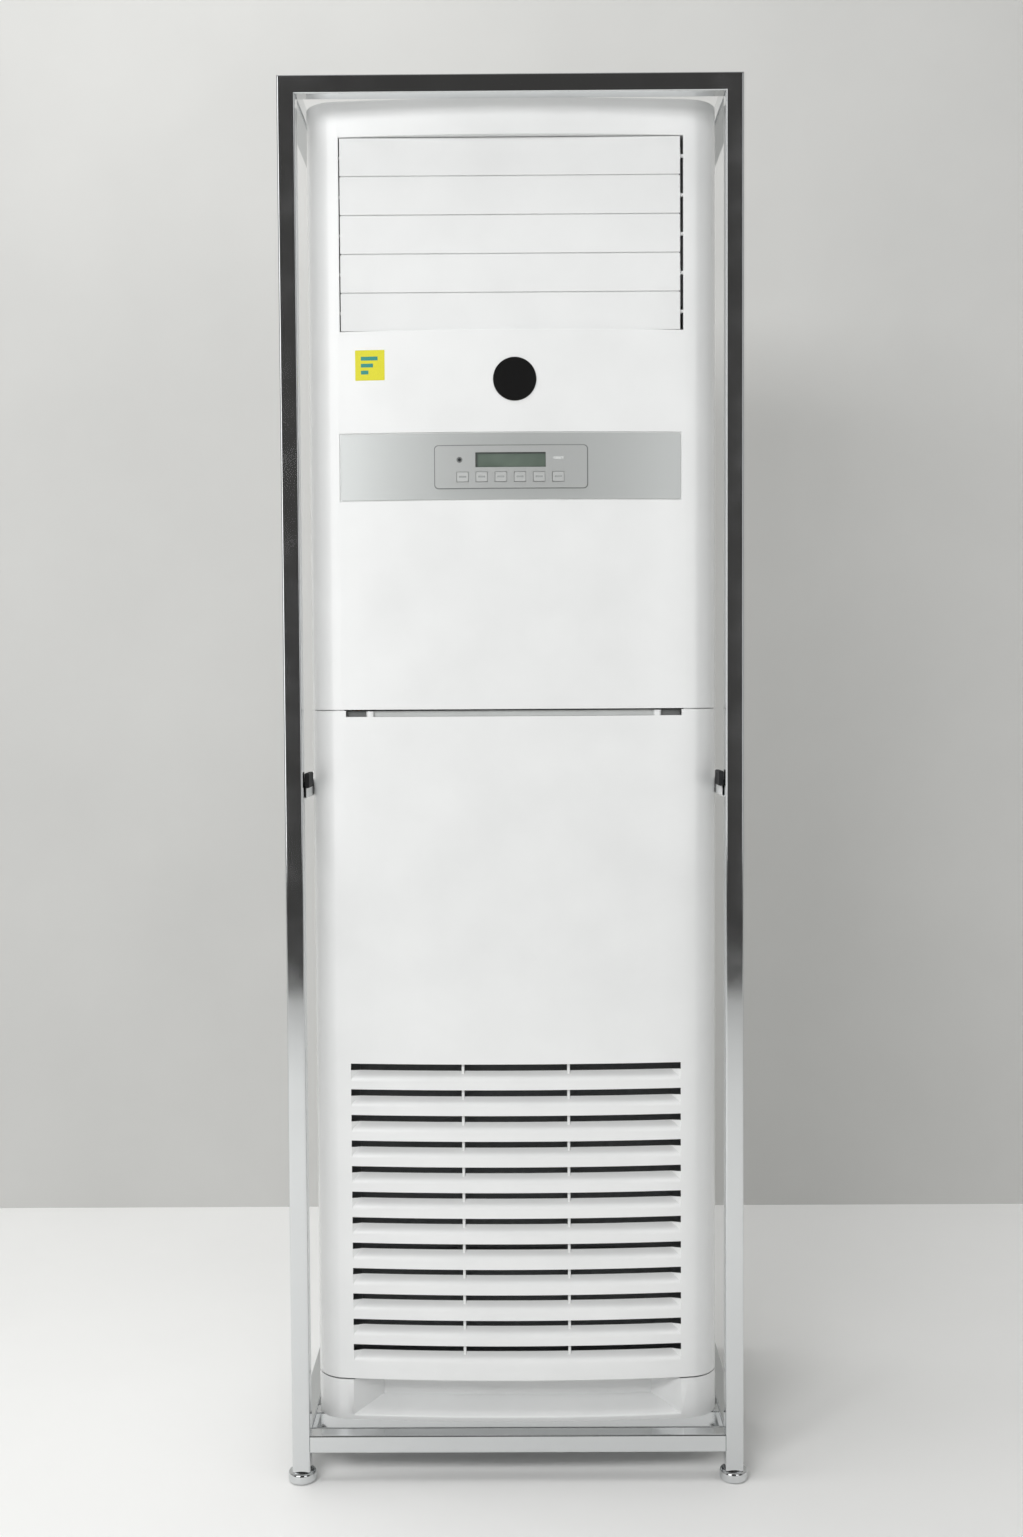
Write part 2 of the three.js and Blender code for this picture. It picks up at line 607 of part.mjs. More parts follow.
// Rib, catch, filter runner and hinge ear on one side of the lower panel.
function panelFittings(side, ledge) {
  const span = onSide(side);
  const [low, high] = [FILTER_LOW - SHELL, FILTER_HIGH + RUNNER_TOP];
  const lipY = FILTER_Y + FILTER_T + SEAT;
  const wallY = bowPoint(RUNNER_X, 1)[1];
  return [
    box(...span(RIB_X - RIB_W / 2, RIB_X + RIB_W / 2), bowPoint(RIB_X, 2)[1],
      bowPoint(RIB_X, SLAT_D - 1)[1], SLOT_Z0 - SLAT_T, GRILLE_TOP + SLAT_T),
    box(...span(CATCH_X - CATCH_W / 2, CATCH_X + CATCH_W / 2), bowPoint(CATCH_X, 4)[1],
      bowPoint(CATCH_X, GRIP_DEPTH - 1)[1], ledge - 1, LOWER_HIGH - 0.6),
    box(...span(RUNNER_X, RUNNER_X + SHELL), wallY, lipY + SHELL, low, high),
    box(...span(RUNNER_X - RUNNER_LIP, RUNNER_X + 1), lipY, lipY + SHELL, low, high),
    box(...span(RUNNER_X - 3 * RUNNER_LIP, RUNNER_X + 1), wallY, lipY + SHELL, low, low + SHELL),
    box(...span(EAR_X, EAR_X + EAR_T), bowPoint(EAR_X, 1)[1], HINGE_Y + 5, LOWER_LOW, HINGE_Z + 6),
  ];
}

// The panel's ears turn on pins that stand in from the plinth's lugs.
const EAR_T = 5;
const EAR_X = RECESS_W / 2 - 6;
const LUG_X = RECESS_W / 2 + 2.5;
const LUG_T = 3;

function controlFascia() {
  return cut(bowStrip(-BAND_W / 2, BAND_W / 2, BAND_FLOOR - SEAT - BAND_T, BAND_FLOOR - SEAT,
    BAND_LOW, BAND_HIGH),
  box(-MODULE_HALF - SEAT, MODULE_HALF + SEAT, FRONT_Y - 5, FRONT_Y + 20,
    MODULE_LOW - SEAT, MODULE_HIGH + SEAT));
}

const PLATE_BACK = BAND_FLOOR - 2 * SEAT - BAND_T;       // plate's back, just off the strip
const PLATE_FACE = PLATE_BACK - PLATE_RAISE;
const buttonX = (k) => BUTTON_X0 + k * BUTTON_PITCH;
const buttonShape = (k, grow) => roundedRect(buttonX(k) - BUTTON_W / 2 - grow,
  buttonX(k) + BUTTON_W / 2 + grow, BUTTON_Z - BUTTON_H / 2 - grow,
  BUTTON_Z + BUTTON_H / 2 + grow, BUTTON_R + grow);

function controlPlate() {
  const half = PLATE_W / 2;
  const outline = prism('y', roundedRect(-half, half, PLATE_LOW, PLATE_HIGH, PLATE_R),
    FRONT_Y - 10, FRONT_Y + 10);
  const plate = bowStrip(-half, half, PLATE_FACE, PLATE_BACK, PLATE_LOW, PLATE_HIGH);
  const module = bowStrip(-MODULE_HALF, MODULE_HALF, PLATE_BACK - 0.2, MODULE_BACK,
    MODULE_LOW, MODULE_HIGH);
  const holes = Array.from({ length: BUTTONS }, (_, k) =>
    prism('y', buttonShape(k, SEAT), FRONT_Y - 10, FRONT_Y + 20));
  return cut(join(plate.intersect(outline), module), ...holes,
    bowStrip(LCD_X0 - SEAT, LCD_X1 + SEAT, PLATE_FACE - 1, PLATE_FACE + LCD_SINK + LCD_T + SEAT,
      LCD_LOW - SEAT, LCD_HIGH + SEAT),
    rod('y', LENS_X, LENS_Z, LENS_R + SEAT, FRONT_Y - 10, LENS_BACK + SEAT));
}

const LENS_FACE = bowPoint(LENS_X, PLATE_FACE)[1] + 0.4;
const LENS_BACK = LENS_FACE + 2;

function button(k) {
  const face = bowPoint(buttonX(k), PLATE_FACE)[1] - BUTTON_PROUD;
  return prism('y', buttonShape(k, 0), face, face + BUTTON_DEPTH);
}

// A tapered block between a front and a back rectangle, for the plinth's recess.
function taperedBlock(front, back) {
  const ring = ({ y, x, low, high }) => [[-x, y, low], [x, y, low], [x, y, high], [-x, y, high]];
  const corners = [...ring(front), ...ring(back)];
  const faces = [[0, 1, 2], [0, 2, 3], [5, 4, 7], [5, 7, 6], [4, 5, 1], [4, 1, 0],
    [3, 2, 6], [3, 6, 7], [1, 5, 6], [1, 6, 2], [4, 0, 3], [4, 3, 7]];
  const geometry = new THREE.BufferGeometry();
  geometry.setAttribute('position', new THREE.Float32BufferAttribute(corners.flat(), 3));
  geometry.setIndex(faces.flat());
  return solid(geometry);
}

function plinthCover() {
  const half = RECESS_W / 2;
  const [low, high] = [CASE_LOW + RECESS_LOW, PLINTH_TOP - RECESS_HEAD];
  const mouthY = FRONT_Y - 4;
  const slope = RECESS_RAMP / (RECESS_D + 4);
  const back = { y: FRONT_Y + RECESS_D, x: half - RECESS_NARROW, low: low + RECESS_RAMP, high };
  const hollow = taperedBlock({ y: mouthY, x: half, low, high }, back);
  const wall = taperedBlock(
    { y: mouthY, x: half + SHELL, low: low - SHELL, high: high + SHELL },
    { y: back.y + SHELL, x: back.x + SHELL, low: back.low - SHELL + slope * SHELL,
      high: high + SHELL });
  const scoop = wall.intersect(behindFront(0, CASE_LOW, PLINTH_LOW_TOP));
  const opening = box(-half, half, FRONT_Y - 5, FRONT_Y + 16, low + 0.01, PLINTH_TOP);
  const shell = cut(frontShell(CASE_LOW, PLINTH_LOW_TOP), opening);
  let plinth = cut(join(shell, scoop), hollow);
  for (const side of [-1, 1]) {
    const span = onSide(side);
    plinth = join(plinth,
      box(...span(LUG_X, LUG_X + LUG_T), bowPoint(LUG_X, 1)[1], HINGE_Y + 6, low, PLINTH_LOW_TOP - 3),
      box(...span(LUG_X, LUG_X + LUG_T), HINGE_Y - HINGE_PIN_R - 0.4, HINGE_Y + 6,
        low, HINGE_Z + 5),
      rod('x', HINGE_Y, HINGE_Z, HINGE_PIN_R, ...span(EAR_X - 2, LUG_X + 1)));
  }
  return plinth;
}

// ---------------------------------------------------------------- outlet
const LOUVRE_PITCH = OUTLET_H / LOUVRES;
const BLADE_Y = FRONT_Y + BOW_RISE + LOUVRE_SET;                      // blade's front face
const LOUVRE_Y = BLADE_Y + LOUVRE_T / 2 + PIVOT_BACK;                 // pivot line
const louvreZ = (k) => OUTLET_Z1 - (k + 0.5) * LOUVRE_PITCH;          // k = 0 is the top one
const FRAME_X = OUTLET_W / 2;
const FRAME_BACK = FRONT_Y + BOW_RISE + OUTLET_DEPTH;
const BLADE_X0 = -FRAME_X + LOUVRE_END_LEFT;
const BLADE_X1 = FRAME_X - LOUVRE_END_RIGHT;
const BLADE_HALF = LOUVRE_PITCH / 2 - LOUVRE_GAP / 2;
const VANE_Y = LOUVRE_Y + BLADE_HALF + VANE_GAP + VANE_DEPTH / 2;
const vaneX = (k) => -FRAME_X + (k + 0.5) * OUTLET_W / VANES;
const crankY = LOUVRE_Y + CRANK * Math.cos(CRANK_ANGLE);
const crankZ = (k) => louvreZ(k) + CRANK * Math.sin(CRANK_ANGLE);
const PIVOT_END = FRAME_X + OUTLET_WALL - 0.2;

function outletFrame() {
  const outer = roundedRect(-FRAME_X - OUTLET_WALL, FRAME_X + OUTLET_WALL,
    OUTLET_Z0 - OUTLET_WALL, OUTLET_Z1 + OUTLET_WALL, OUTLET_R + OUTLET_WALL);
  const inner = roundedRect(-FRAME_X, FRAME_X, OUTLET_Z0, OUTLET_Z1, OUTLET_R);
  const reach = behindFront(SHELL + SEAT, OUTLET_Z0 - 10, OUTLET_Z1 + 10);
  const front = prism('y', outer, FRONT_Y, WING_Y - 1).intersect(reach);
  const body = join(front, prism('y', outer, WING_Y - 2, FRAME_BACK));
  const holes = [prism('y', inner, FRONT_Y - 5, FRAME_BACK + 5)];
  for (let k = 0; k < LOUVRES; k++) {
    holes.push(rod('x', LOUVRE_Y, louvreZ(k), PIVOT_R + SEAT,
      -FRAME_X - 5, FRAME_X + 5, PIN_SIDES));
  }
  for (let k = 0; k < VANES; k++) {
    holes.push(rod('z', vaneX(k), VANE_Y, PIVOT_R + SEAT,
      OUTLET_Z0 - 5, OUTLET_Z1 + 5, PIN_SIDES));
  }
  return cut(body, ...holes);
}

// A flat bar with round ends between two points of a plane, drawn out along an axis.
function bar(axis, [u0, v0], [u1, v1], halfWidth, from, to) {
  const angle = Math.atan2(v1 - v0, u1 - u0);
  const shape = new THREE.Shape();
  shape.absarc(u1, v1, halfWidth, angle - Math.PI / 2, angle + Math.PI / 2);
  shape.absarc(u0, v0, halfWidth, angle + Math.PI / 2, angle + 1.5 * Math.PI);
  return prism(axis, shape, from, to, BAR_END_STEPS);
}

function louvre(k) {
  const z = louvreZ(k);
  const back = BLADE_Y + LOUVRE_T;
  const thin = BLADE_Y + LOUVRE_EDGE_T;
  const section = [
    [BLADE_Y, z - BLADE_HALF + 0.6], [BLADE_Y + 0.6, z - BLADE_HALF], [thin, z - BLADE_HALF],
    [back, z - BLADE_HALF / 3], [back, z + BLADE_HALF / 3], [thin, z + BLADE_HALF],
    [BLADE_Y + 0.6, z + BLADE_HALF], [BLADE_Y, z + BLADE_HALF - 0.6],
  ];
  const armX = BLADE_X1 + CRANK_T;
  const cheek = [back - 0.5, LOUVRE_Y + LINK_HALF_W, z - LINK_HALF_W, z + LINK_HALF_W];
  return join(prism('x', section, BLADE_X0, BLADE_X1),
    box(BLADE_X0, BLADE_X0 + CHEEK_T, ...cheek),
    box(BLADE_X1 - CHEEK_T, BLADE_X1, ...cheek),
    rod('x', LOUVRE_Y, z, PIVOT_R, -PIVOT_END, BLADE_X0 + 1, PIN_SIDES),
    rod('x', LOUVRE_Y, z, PIVOT_R, BLADE_X1 - 1, PIVOT_END, PIN_SIDES),
    bar('x', [LOUVRE_Y, z], [crankY, crankZ(k)], LINK_HALF_W, BLADE_X1 - 0.2, armX),
    rod('x', crankY, crankZ(k), CRANK_PIN_R, armX - 0.2, armX + LINK_T + 2 * SEAT, PIN_SIDES));
}

function louvreLink() {
  const x = BLADE_X1 + CRANK_T + SEAT;
  const holes = Array.from({ length: LOUVRES }, (_, k) =>
    rod('x', crankY, crankZ(k), CRANK_PIN_R + SEAT, x - 1, x + LINK_T + 1, PIN_SIDES));
  return cut(bar('x', [crankY, crankZ(LOUVRES - 1)], [crankY, crankZ(0)],
    LINK_HALF_W, x, x + LINK_T), ...holes);
}

// Small geared motor on the frame's right wall, its shaft in line with the middle louvre's pivot.
function louvreMotor() {
  const [x, z] = [FRAME_X + OUTLET_WALL + SEAT, louvreZ((LOUVRES - 1) / 2)];
  const y = LOUVRE_Y + MOTOR_OFFSET;
  const flange = bar('x', [y, z - 17], [y, z + 17], 4, x, x + 1.5);
  return join(flange, rod('x', LOUVRE_Y, z, PIVOT_R + 0.5, x, x + 3),
    rod('x', y, z, LOUVRE_MOTOR_R, x + 1, x + 19),
    box(x + 4, x + 15, y + 8, y + 17, z - 7, z + 7));
}

function vane(k) {
  const [x, half, t] = [vaneX(k), VANE_DEPTH / 2, VANE_HALF_T];
  const section = [
    [x, VANE_Y - half], [x + 0.8 * t, VANE_Y - half + 6], [x + t, VANE_Y],
    [x + t / 2, VANE_Y + half], [x - t / 2, VANE_Y + half], [x - t, VANE_Y],
    [x - 0.8 * t, VANE_Y - half + 6],
  ];
  const foot = OUTLET_Z0 + VANE_FOOT;
  const head = OUTLET_Z1 - 3;
  return join(prism('z', section, foot, head),
    rod('z', x, VANE_Y, PIVOT_R, OUTLET_Z0 - OUTLET_WALL + 0.2, foot + 2, PIN_SIDES),
    rod('z', x, VANE_Y, PIVOT_R, head - 2, OUTLET_Z1 + OUTLET_WALL - 0.2, PIN_SIDES),
    rod('z', x, VANE_Y + VANE_CRANK, CRANK_PIN_R, foot - LINK_T - 4 * SEAT - 2, foot + 2,
      PIN_SIDES));
}

function vaneLink() {
  const [y, high] = [VANE_Y + VANE_CRANK, OUTLET_Z0 + VANE_FOOT - 2 * SEAT - 1];
  const holes = Array.from({ length: VANES }, (_, k) =>
    rod('z', vaneX(k), y, CRANK_PIN_R + SEAT, high - LINK_T - 1, high + 1, PIN_SIDES));
  return cut(bar('z', [vaneX(0), y], [vaneX(VANES - 1), y], LINK_HALF_W, high - LINK_T, high),
    ...holes);
}

// ---------------------------------------------------------------- fan
const FAN_Z = (SLOT_Z0 + GRILLE_TOP) / 2;
const WHEEL_Y0 = FAN_MID_Y - FAN_DEPTH / 2;
const WHEEL_Y1 = FAN_MID_Y + FAN_DEPTH / 2;
const SCROLL_Y0 = WHEEL_Y0 - SCROLL_SIDE;
const SCROLL_Y1 = WHEEL_Y1 + SCROLL_SIDE;
const TONGUE = 50 * Math.PI / 180;                   // where the scroll is tightest
const SCROLL_STEPS = 20;
const WHEEL_SIDES = 42;
const MOUTH_SIDES = 24;

// The scroll seen from the front: it widens clockwise from the tongue and leaves upwards.
function scrollOutline(grow) {
  const points = [];
  const sweep = TONGUE + Math.PI;
  for (let i = 0; i <= SCROLL_STEPS; i++) {
    const angle = TONGUE - sweep * i / SCROLL_STEPS;
    const radius = FAN_R + SCROLL_GAP + SCROLL_GROW * i / SCROLL_STEPS + grow;
    points.push([radius * Math.cos(angle), FAN_Z + radius * Math.sin(angle)]);
  }
  const top = FAN_Z + SCROLL_RISE + (grow ? 0 : 5);
  points.push([points[SCROLL_STEPS][0], top], [points[0][0], top]);
  return points;
}

function fanScroll() {
  const backY = SCROLL_Y1 + SCROLL_WALL;
  const body = prism('y', scrollOutline(SCROLL_WALL), SCROLL_Y0 - SCROLL_WALL, backY);
  const hollow = prism('y', scrollOutline(0), SCROLL_Y0, SCROLL_Y1);
  const plateHalf = FAN_R + SCROLL_GAP + SCROLL_GROW + 6;
  const plate = box(-plateHalf, plateHalf, SCROLL_Y1, backY,
    CASE_LOW + PAN_T + SEAT, FAN_Z + SCROLL_RISE);
  const mouth = turned('y', 0, FAN_Z, [
    [FAN_EYE_R, SCROLL_Y0 - SCROLL_WALL + 0.2], [FAN_EYE_R + SCROLL_WALL, SCROLL_Y0 - SCROLL_WALL + 0.2],
    [FAN_EYE_R + 2.5, SCROLL_Y0 - 7], [FAN_EYE_R + 8, SCROLL_Y0 - 12],
    [FAN_EYE_R + 7, SCROLL_Y0 - 13], [FAN_EYE_R + 1.5, SCROLL_Y0 - 8],
    [FAN_EYE_R, SCROLL_Y0 - SCROLL_WALL + 0.2],
  ].reverse(), MOUTH_SIDES);
  return join(cut(join(body, plate), hollow,
    rod('y', 0, FAN_Z, FAN_EYE_R, SCROLL_Y0 - 10, SCROLL_Y0 + 1, MOUTH_SIDES),
    rod('y', 0, FAN_Z, SHAFT_R + 6, SCROLL_Y1 - 1, backY + 1)), mouth);
}

// Forward-curved wheel: back disc, hub, a ring of curved blades and the front ring.
function fanWheel() {
  const [inner, outer] = [FAN_EYE_R, FAN_R - 1];
  const centreline = [[inner, 0], [(inner + outer) / 2 + 1, 3.2], [outer, 10]];
  const face = centreline.map(([r, lag]) => [r, lag]);
  const back = centreline.map(([r, lag]) => [r, lag + BLADE_T]).reverse();
  const blade = prism('y', [...face, ...back], WHEEL_Y0 + 1, WHEEL_Y1 - 1);
  let wheel = join(
    turned('y', 0, 0, [[0, WHEEL_Y1 - 2], [FAN_R, WHEEL_Y1 - 2], [FAN_R, WHEEL_Y1], [0, WHEEL_Y1]],
      WHEEL_SIDES),
    turned('y', 0, 0, [[inner - 1, WHEEL_Y0], [FAN_R, WHEEL_Y0], [FAN_R, WHEEL_Y0 + 3],
      [inner - 1, WHEEL_Y0 + 3], [inner - 1, WHEEL_Y0]], WHEEL_SIDES),
    rod('y', 0, 0, HUB_R, WHEEL_Y1 - HUB_LEN, WHEEL_Y1 + 2));
  for (let k = 0; k < BLADES; k++) {
    wheel = wheel.add(blade.rotate([0, 360 * k / BLADES, 0]));
  }
  return cut(wheel, rod('y', 0, 0, SHAFT_R + SEAT, WHEEL_Y0, WHEEL_Y1 + 10))
    .translate([0, 0, FAN_Z]);
}

function fanMotor() {
  const y = SCROLL_Y1 + SCROLL_WALL + SEAT;
  const tip = WHEEL_Y1 - HUB_LEN - 6;
  return turned('y', 0, FAN_Z, [
    [0, tip], [SHAFT_R - 1, tip], [SHAFT_R, tip + 1], [SHAFT_R, y], [MOTOR_R + 12, y],
    [MOTOR_R + 12, y + 3], [MOTOR_R, y + 3], [MOTOR_R, y + MOTOR_LEN - 14],
    [MOTOR_R - 8, y + MOTOR_LEN - 4], [HUB_R, y + MOTOR_LEN - 4], [HUB_R, y + MOTOR_LEN],
    [0, y + MOTOR_LEN],
  ], ROUND);
}

// Filter: a frame with cross ribs and a thin mesh sheet, and a pull tab at its top.
function airFilter() {
  const half = RUNNER_X - SEAT;
  const [y0, y1] = [FILTER_Y, FILTER_Y + FILTER_T];
  const frame = box(-half, half, y0, y1, FILTER_LOW + SEAT, FILTER_HIGH);
  const bays = [];
  const stepX = (2 * half - FILTER_FRAME) / FILTER_BAYS;
  const stepZ = (FILTER_HIGH - FILTER_LOW - FILTER_FRAME) / FILTER_BAYS;
  const meshY = (y0 + y1) / 2;
  for (let i = 0; i < FILTER_BAYS; i++) {
    for (let j = 0; j < FILTER_BAYS; j++) {
      const x = -half + FILTER_FRAME + i * stepX;
      const z = FILTER_LOW + FILTER_FRAME + j * stepZ;
      const [x1, z1] = [x + stepX - FILTER_FRAME, z + stepZ - FILTER_FRAME];
      bays.push(box(x, x1, y0 - 1, meshY - FILTER_MESH_T / 2, z, z1),
        box(x, x1, meshY + FILTER_MESH_T / 2, y1 + 1, z, z1));
    }
  }
  const tab = prism('y', roundedRect(-25, 25, FILTER_HIGH - 8, FILTER_HIGH + 14, 6), y0 + 1, y1 - 1);
  return join(cut(frame, ...bays), tab);
}

// ---------------------------------------------------------------- coil, tray, pipes, box
function drainPan() {
  const [x, near] = [HALF - SHEET - SEAT, WING_Y + 3 * SEAT + SHEET];
  const pan = cut(box(-x, x, near, TRAY_REAR, TRAY_Z, TRAY_Z + TRAY_H),
    box(-x + TRAY_T, x - TRAY_T, near + TRAY_T, TRAY_REAR - TRAY_T,
      TRAY_Z + TRAY_T, TRAY_Z + TRAY_H + 1));
  return join(pan, rod('z', x - DRAIN_IN, TRAY_REAR - DRAIN_REAR, DRAIN_R,
    TRAY_Z - DRAIN_LEN, TRAY_Z + 1));
}

const COIL_LEN = (CASE_TOP - TRAY_Z - COIL_ROOM) / Math.cos(COIL_LEAN);
const COIL_HEADER_X = -COIL_W / 2 - HEADER_OUT;
const COIL_FOOT_Z = TRAY_Z + TRAY_T + SEAT + COIL_T / 2 * Math.sin(COIL_LEAN);
const PORT_X = COIL_HEADER_X;                        // the pipes drop straight from the header

// The leaning coil is built upright, foot on z = 0, and then leaned back and set in the tray.
function evaporatorCoil() {
  const [half, thick] = [COIL_W / 2, COIL_T / 2];
  const pitch = COIL_W / FINS;
  const edge = [];
  for (let k = 0; k < FINS; k++) {
    const x = -half + (k + 0.5) * pitch;
    edge.push([x - FIN_T / 2, thick - FIN_STEP], [x - FIN_T / 2, thick],
      [x + FIN_T / 2, thick], [x + FIN_T / 2, thick - FIN_STEP]);
  }
  const rear = [[-half, thick - FIN_STEP], ...edge, [half, thick - FIN_STEP]];
  const front = rear.map(([x, y]) => [x, -y]).reverse();
  let coil = prism('z', [...rear, ...front], 0, COIL_LEN);
  for (const side of [-1, 1]) {
    coil = coil.add(box(...onSide(side)(half - 0.1, half + 2), -thick, thick, 0, COIL_LEN));
  }
  for (let k = 0; k < BENDS; k++) {
    const z = COIL_LEN * (k + 0.5) / BENDS;
    coil = join(coil, returnBend(half + 1.5, (k % 2 ? 1 : -1) * thick / 3, z),
      rod('x', 0, z, BEND_TUBE_R, COIL_HEADER_X, -half - 1, PIN_SIDES));
  }
  const header = rod('z', COIL_HEADER_X, 0, HEADER_R, 20, COIL_LEN - 20, PIN_SIDES);
  const leaned = coil.add(header).rotate([-COIL_LEAN * 180 / Math.PI, 0, 0]);
  return leaned.translate([0, COIL_FOOT_Y, COIL_FOOT_Z]);
}

// Half-round hairpin end of a tube, standing out of the coil's right plate.
function returnBend(x, y, z) {
  const steps = 6;
  const points = Array.from({ length: steps + 1 }, (_, i) => {
    const angle = -Math.PI / 2 + Math.PI * i / steps;
    return new THREE.Vector3(x + BEND_R * Math.cos(angle), y, z + BEND_R * Math.sin(angle));
  });
  const path = new THREE.CatmullRomCurve3(points);
  const section = new THREE.Shape().absarc(0, 0, BEND_TUBE_R, 0, 2 * Math.PI);
  return solid(new THREE.ExtrudeGeometry(section, {
    steps, extrudePath: path, curveSegments: 3, bevelEnabled: false,
  }));
}

// A pipe from the coil's header: back, down behind the fan, and out through the rear port.
function pipe(radius, startZ, dropY, endZ) {
  const rise = startZ - COIL_FOOT_Z;
  const startY = COIL_FOOT_Y + rise * Math.tan(COIL_LEAN) + HEADER_R / Math.cos(COIL_LEAN)
    + radius * Math.tan(COIL_LEAN) + SEAT;
  const x = COIL_HEADER_X;
  const at = (y, z) => new THREE.Vector3(x, y, z);
  const route = new THREE.CurvePath();
  const b = PIPE_BEND;
  const exitB = PIPE_BEND / 1.6;
  const endY = BACK_Y + 8;
  route.add(new THREE.LineCurve3(at(startY, startZ), at(dropY - b, startZ)));
  route.add(new THREE.QuadraticBezierCurve3(at(dropY - b, startZ), at(dropY, startZ),
    at(dropY, startZ - b)));
  route.add(new THREE.LineCurve3(at(dropY, startZ - b), at(dropY, endZ + exitB)));
  route.add(new THREE.QuadraticBezierCurve3(at(dropY, endZ + exitB), at(dropY, endZ),
    at(dropY + exitB, endZ)));
  route.add(new THREE.LineCurve3(at(dropY + exitB, endZ), at(endY, endZ)));
  const section = new THREE.Shape().absarc(0, 0, radius, 0, 2 * Math.PI);
  const run = solid(new THREE.ExtrudeGeometry(section, {
    steps: 24, extrudePath: route, curveSegments: 4, bevelEnabled: false,
  }));
  return join(run, rod('y', x, endZ, radius * NUT, endY - 2, endY + 14, 6));
}

function electricalBox() {
  const x1 = HALF - SHEET - SEAT;
  const x0 = x1 - BOX_W;
  const y0 = WING_Y + SHEET + 3 * SEAT;
  const z0 = (FILTER_HIGH + TRAY_Z) / 2;
  const body = prism('y', roundedRect(x0, x1, z0, z0 + BOX_H, 6), y0 + 3, y0 + BOX_D);
  const lid = prism('y', roundedRect(x0 - 3, x1, z0 - 3, z0 + BOX_H + 3, 8), y0, y0 + 12);
  const glands = [0.3, 0.7].map((share) =>
    rod('z', x0 + share * BOX_W, y0 + BOX_D / 2, 9, z0 - 10, z0 + 1, 16));
  return join(body, lid, ...glands);
}

// ---------------------------------------------------------------- assembly
cage();
add('base_pan', basePan(), zincSteel);
add('plinth_cover', plinthCover(), whitePlastic);
add('side_panel_left', sidePanel(-1), whitePaint);
add('side_panel_right', sidePanel(1), whitePaint);
add('rear_panel', rearPanel(), whitePaint);
add('top_cover', topCover(), whitePaint);
add('upper_front_panel', upperFrontPanel(), whitePlastic);
add('lower_front_panel', lowerFrontPanel(), whitePlastic);
add('control_fascia', controlFascia(), silverPaint);
add('control_plate', controlPlate(), silverPaint);
add('lcd_window', bowStrip(LCD_X0, LCD_X1, PLATE_FACE + LCD_SINK,
  PLATE_FACE + LCD_SINK + LCD_T, LCD_LOW, LCD_HIGH), lcdGlass);
add('receiver_lens', rod('y', LENS_X, LENS_Z, LENS_R, LENS_FACE, LENS_BACK), darkPlastic);
for (let k = 0; k < BUTTONS; k++) add(`button_${k + 1}`, button(k), greyPlastic);
add('outlet_frame', outletFrame(), whitePlastic);
for (let k = 0; k < LOUVRES; k++) add(`louvre_${k + 1}`, louvre(k), whitePlastic);
add('louvre_link', louvreLink(), greyPlastic);
add('louvre_motor', louvreMotor(), darkPlastic);
for (let k = 0; k < VANES; k++) add(`vane_${k + 1}`, vane(k), foamWhite);
add('vane_link', vaneLink(), greyPlastic);
add('evaporator_coil', evaporatorCoil(), aluminium);
add('drain_pan', drainPan(), foamWhite);
add('fan_scroll', fanScroll(), zincSteel);
add('fan_wheel', fanWheel(), zincSteel);
add('fan_motor', fanMotor(), darkPlastic);
add('air_filter', airFilter(), darkPlastic);
add('electrical_box', electricalBox(), greyPlastic);
add('pipe_gas',
  pipe(GAS_R, TRAY_Z + GAS_START, BACK_Y - GAS_DROP, PIPE_PORT_Z + GAS_PORT), copper);
add('pipe_liquid',
  pipe(LIQUID_R, TRAY_Z + LIQUID_START, BACK_Y - LIQUID_DROP, PIPE_PORT_Z + LIQUID_PORT), copper);

const group = new THREE.Group();
group.add(...pieces);
export default group;
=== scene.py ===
# %% [markdown]
# A floor standing air conditioner: a white cabinet inside a polished square-tube frame.
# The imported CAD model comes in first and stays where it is. Every visible CAD solid then either
# gets a finish of its own or is stood in for by a smoother, more detailed piece in the same place.
# Lengths in this file are millimetres, and one constant turns them into Blender's metres.

import math

import bmesh
import bpy
from mathutils import Matrix, Vector


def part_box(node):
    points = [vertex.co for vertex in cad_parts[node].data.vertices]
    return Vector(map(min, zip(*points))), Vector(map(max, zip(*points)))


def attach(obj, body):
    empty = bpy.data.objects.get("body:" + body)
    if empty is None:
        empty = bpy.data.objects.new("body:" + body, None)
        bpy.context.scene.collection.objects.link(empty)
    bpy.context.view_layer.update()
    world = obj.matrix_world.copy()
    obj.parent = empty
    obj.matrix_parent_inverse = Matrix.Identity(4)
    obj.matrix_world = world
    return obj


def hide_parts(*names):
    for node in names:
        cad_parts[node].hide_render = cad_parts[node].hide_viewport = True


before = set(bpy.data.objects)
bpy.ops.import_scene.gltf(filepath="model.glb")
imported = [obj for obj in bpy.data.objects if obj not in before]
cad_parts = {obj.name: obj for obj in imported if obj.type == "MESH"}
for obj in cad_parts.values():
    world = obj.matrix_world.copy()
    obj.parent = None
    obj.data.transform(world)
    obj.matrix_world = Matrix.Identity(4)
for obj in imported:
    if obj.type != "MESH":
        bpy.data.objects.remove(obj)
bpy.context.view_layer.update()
MM = 0.001

# %% [markdown]
# The camera stands about 2.5 m in front, a little above the middle of the cabinet, and looks
# slightly down. Its place, turn and lens were solved from the straight lines of the frame.

# %% camera
LONG_SIDE_PX = 1537
FOCAL_PX = 1650.0
SENSOR = 36.0
CAMERA_AT = Vector((8.26, -2497.14, 1100.63)) * MM
YAW, PITCH, ROLL = -0.00512, 0.04496, -0.00577

forward = Vector((math.sin(YAW) * math.cos(PITCH), math.cos(YAW) * math.cos(PITCH), -math.sin(PITCH)))
right = Vector((math.cos(YAW), -math.sin(YAW), 0))
up = right.cross(forward)
turned_right = math.cos(ROLL) * right + math.sin(ROLL) * up
turned_up = math.cos(ROLL) * up - math.sin(ROLL) * right

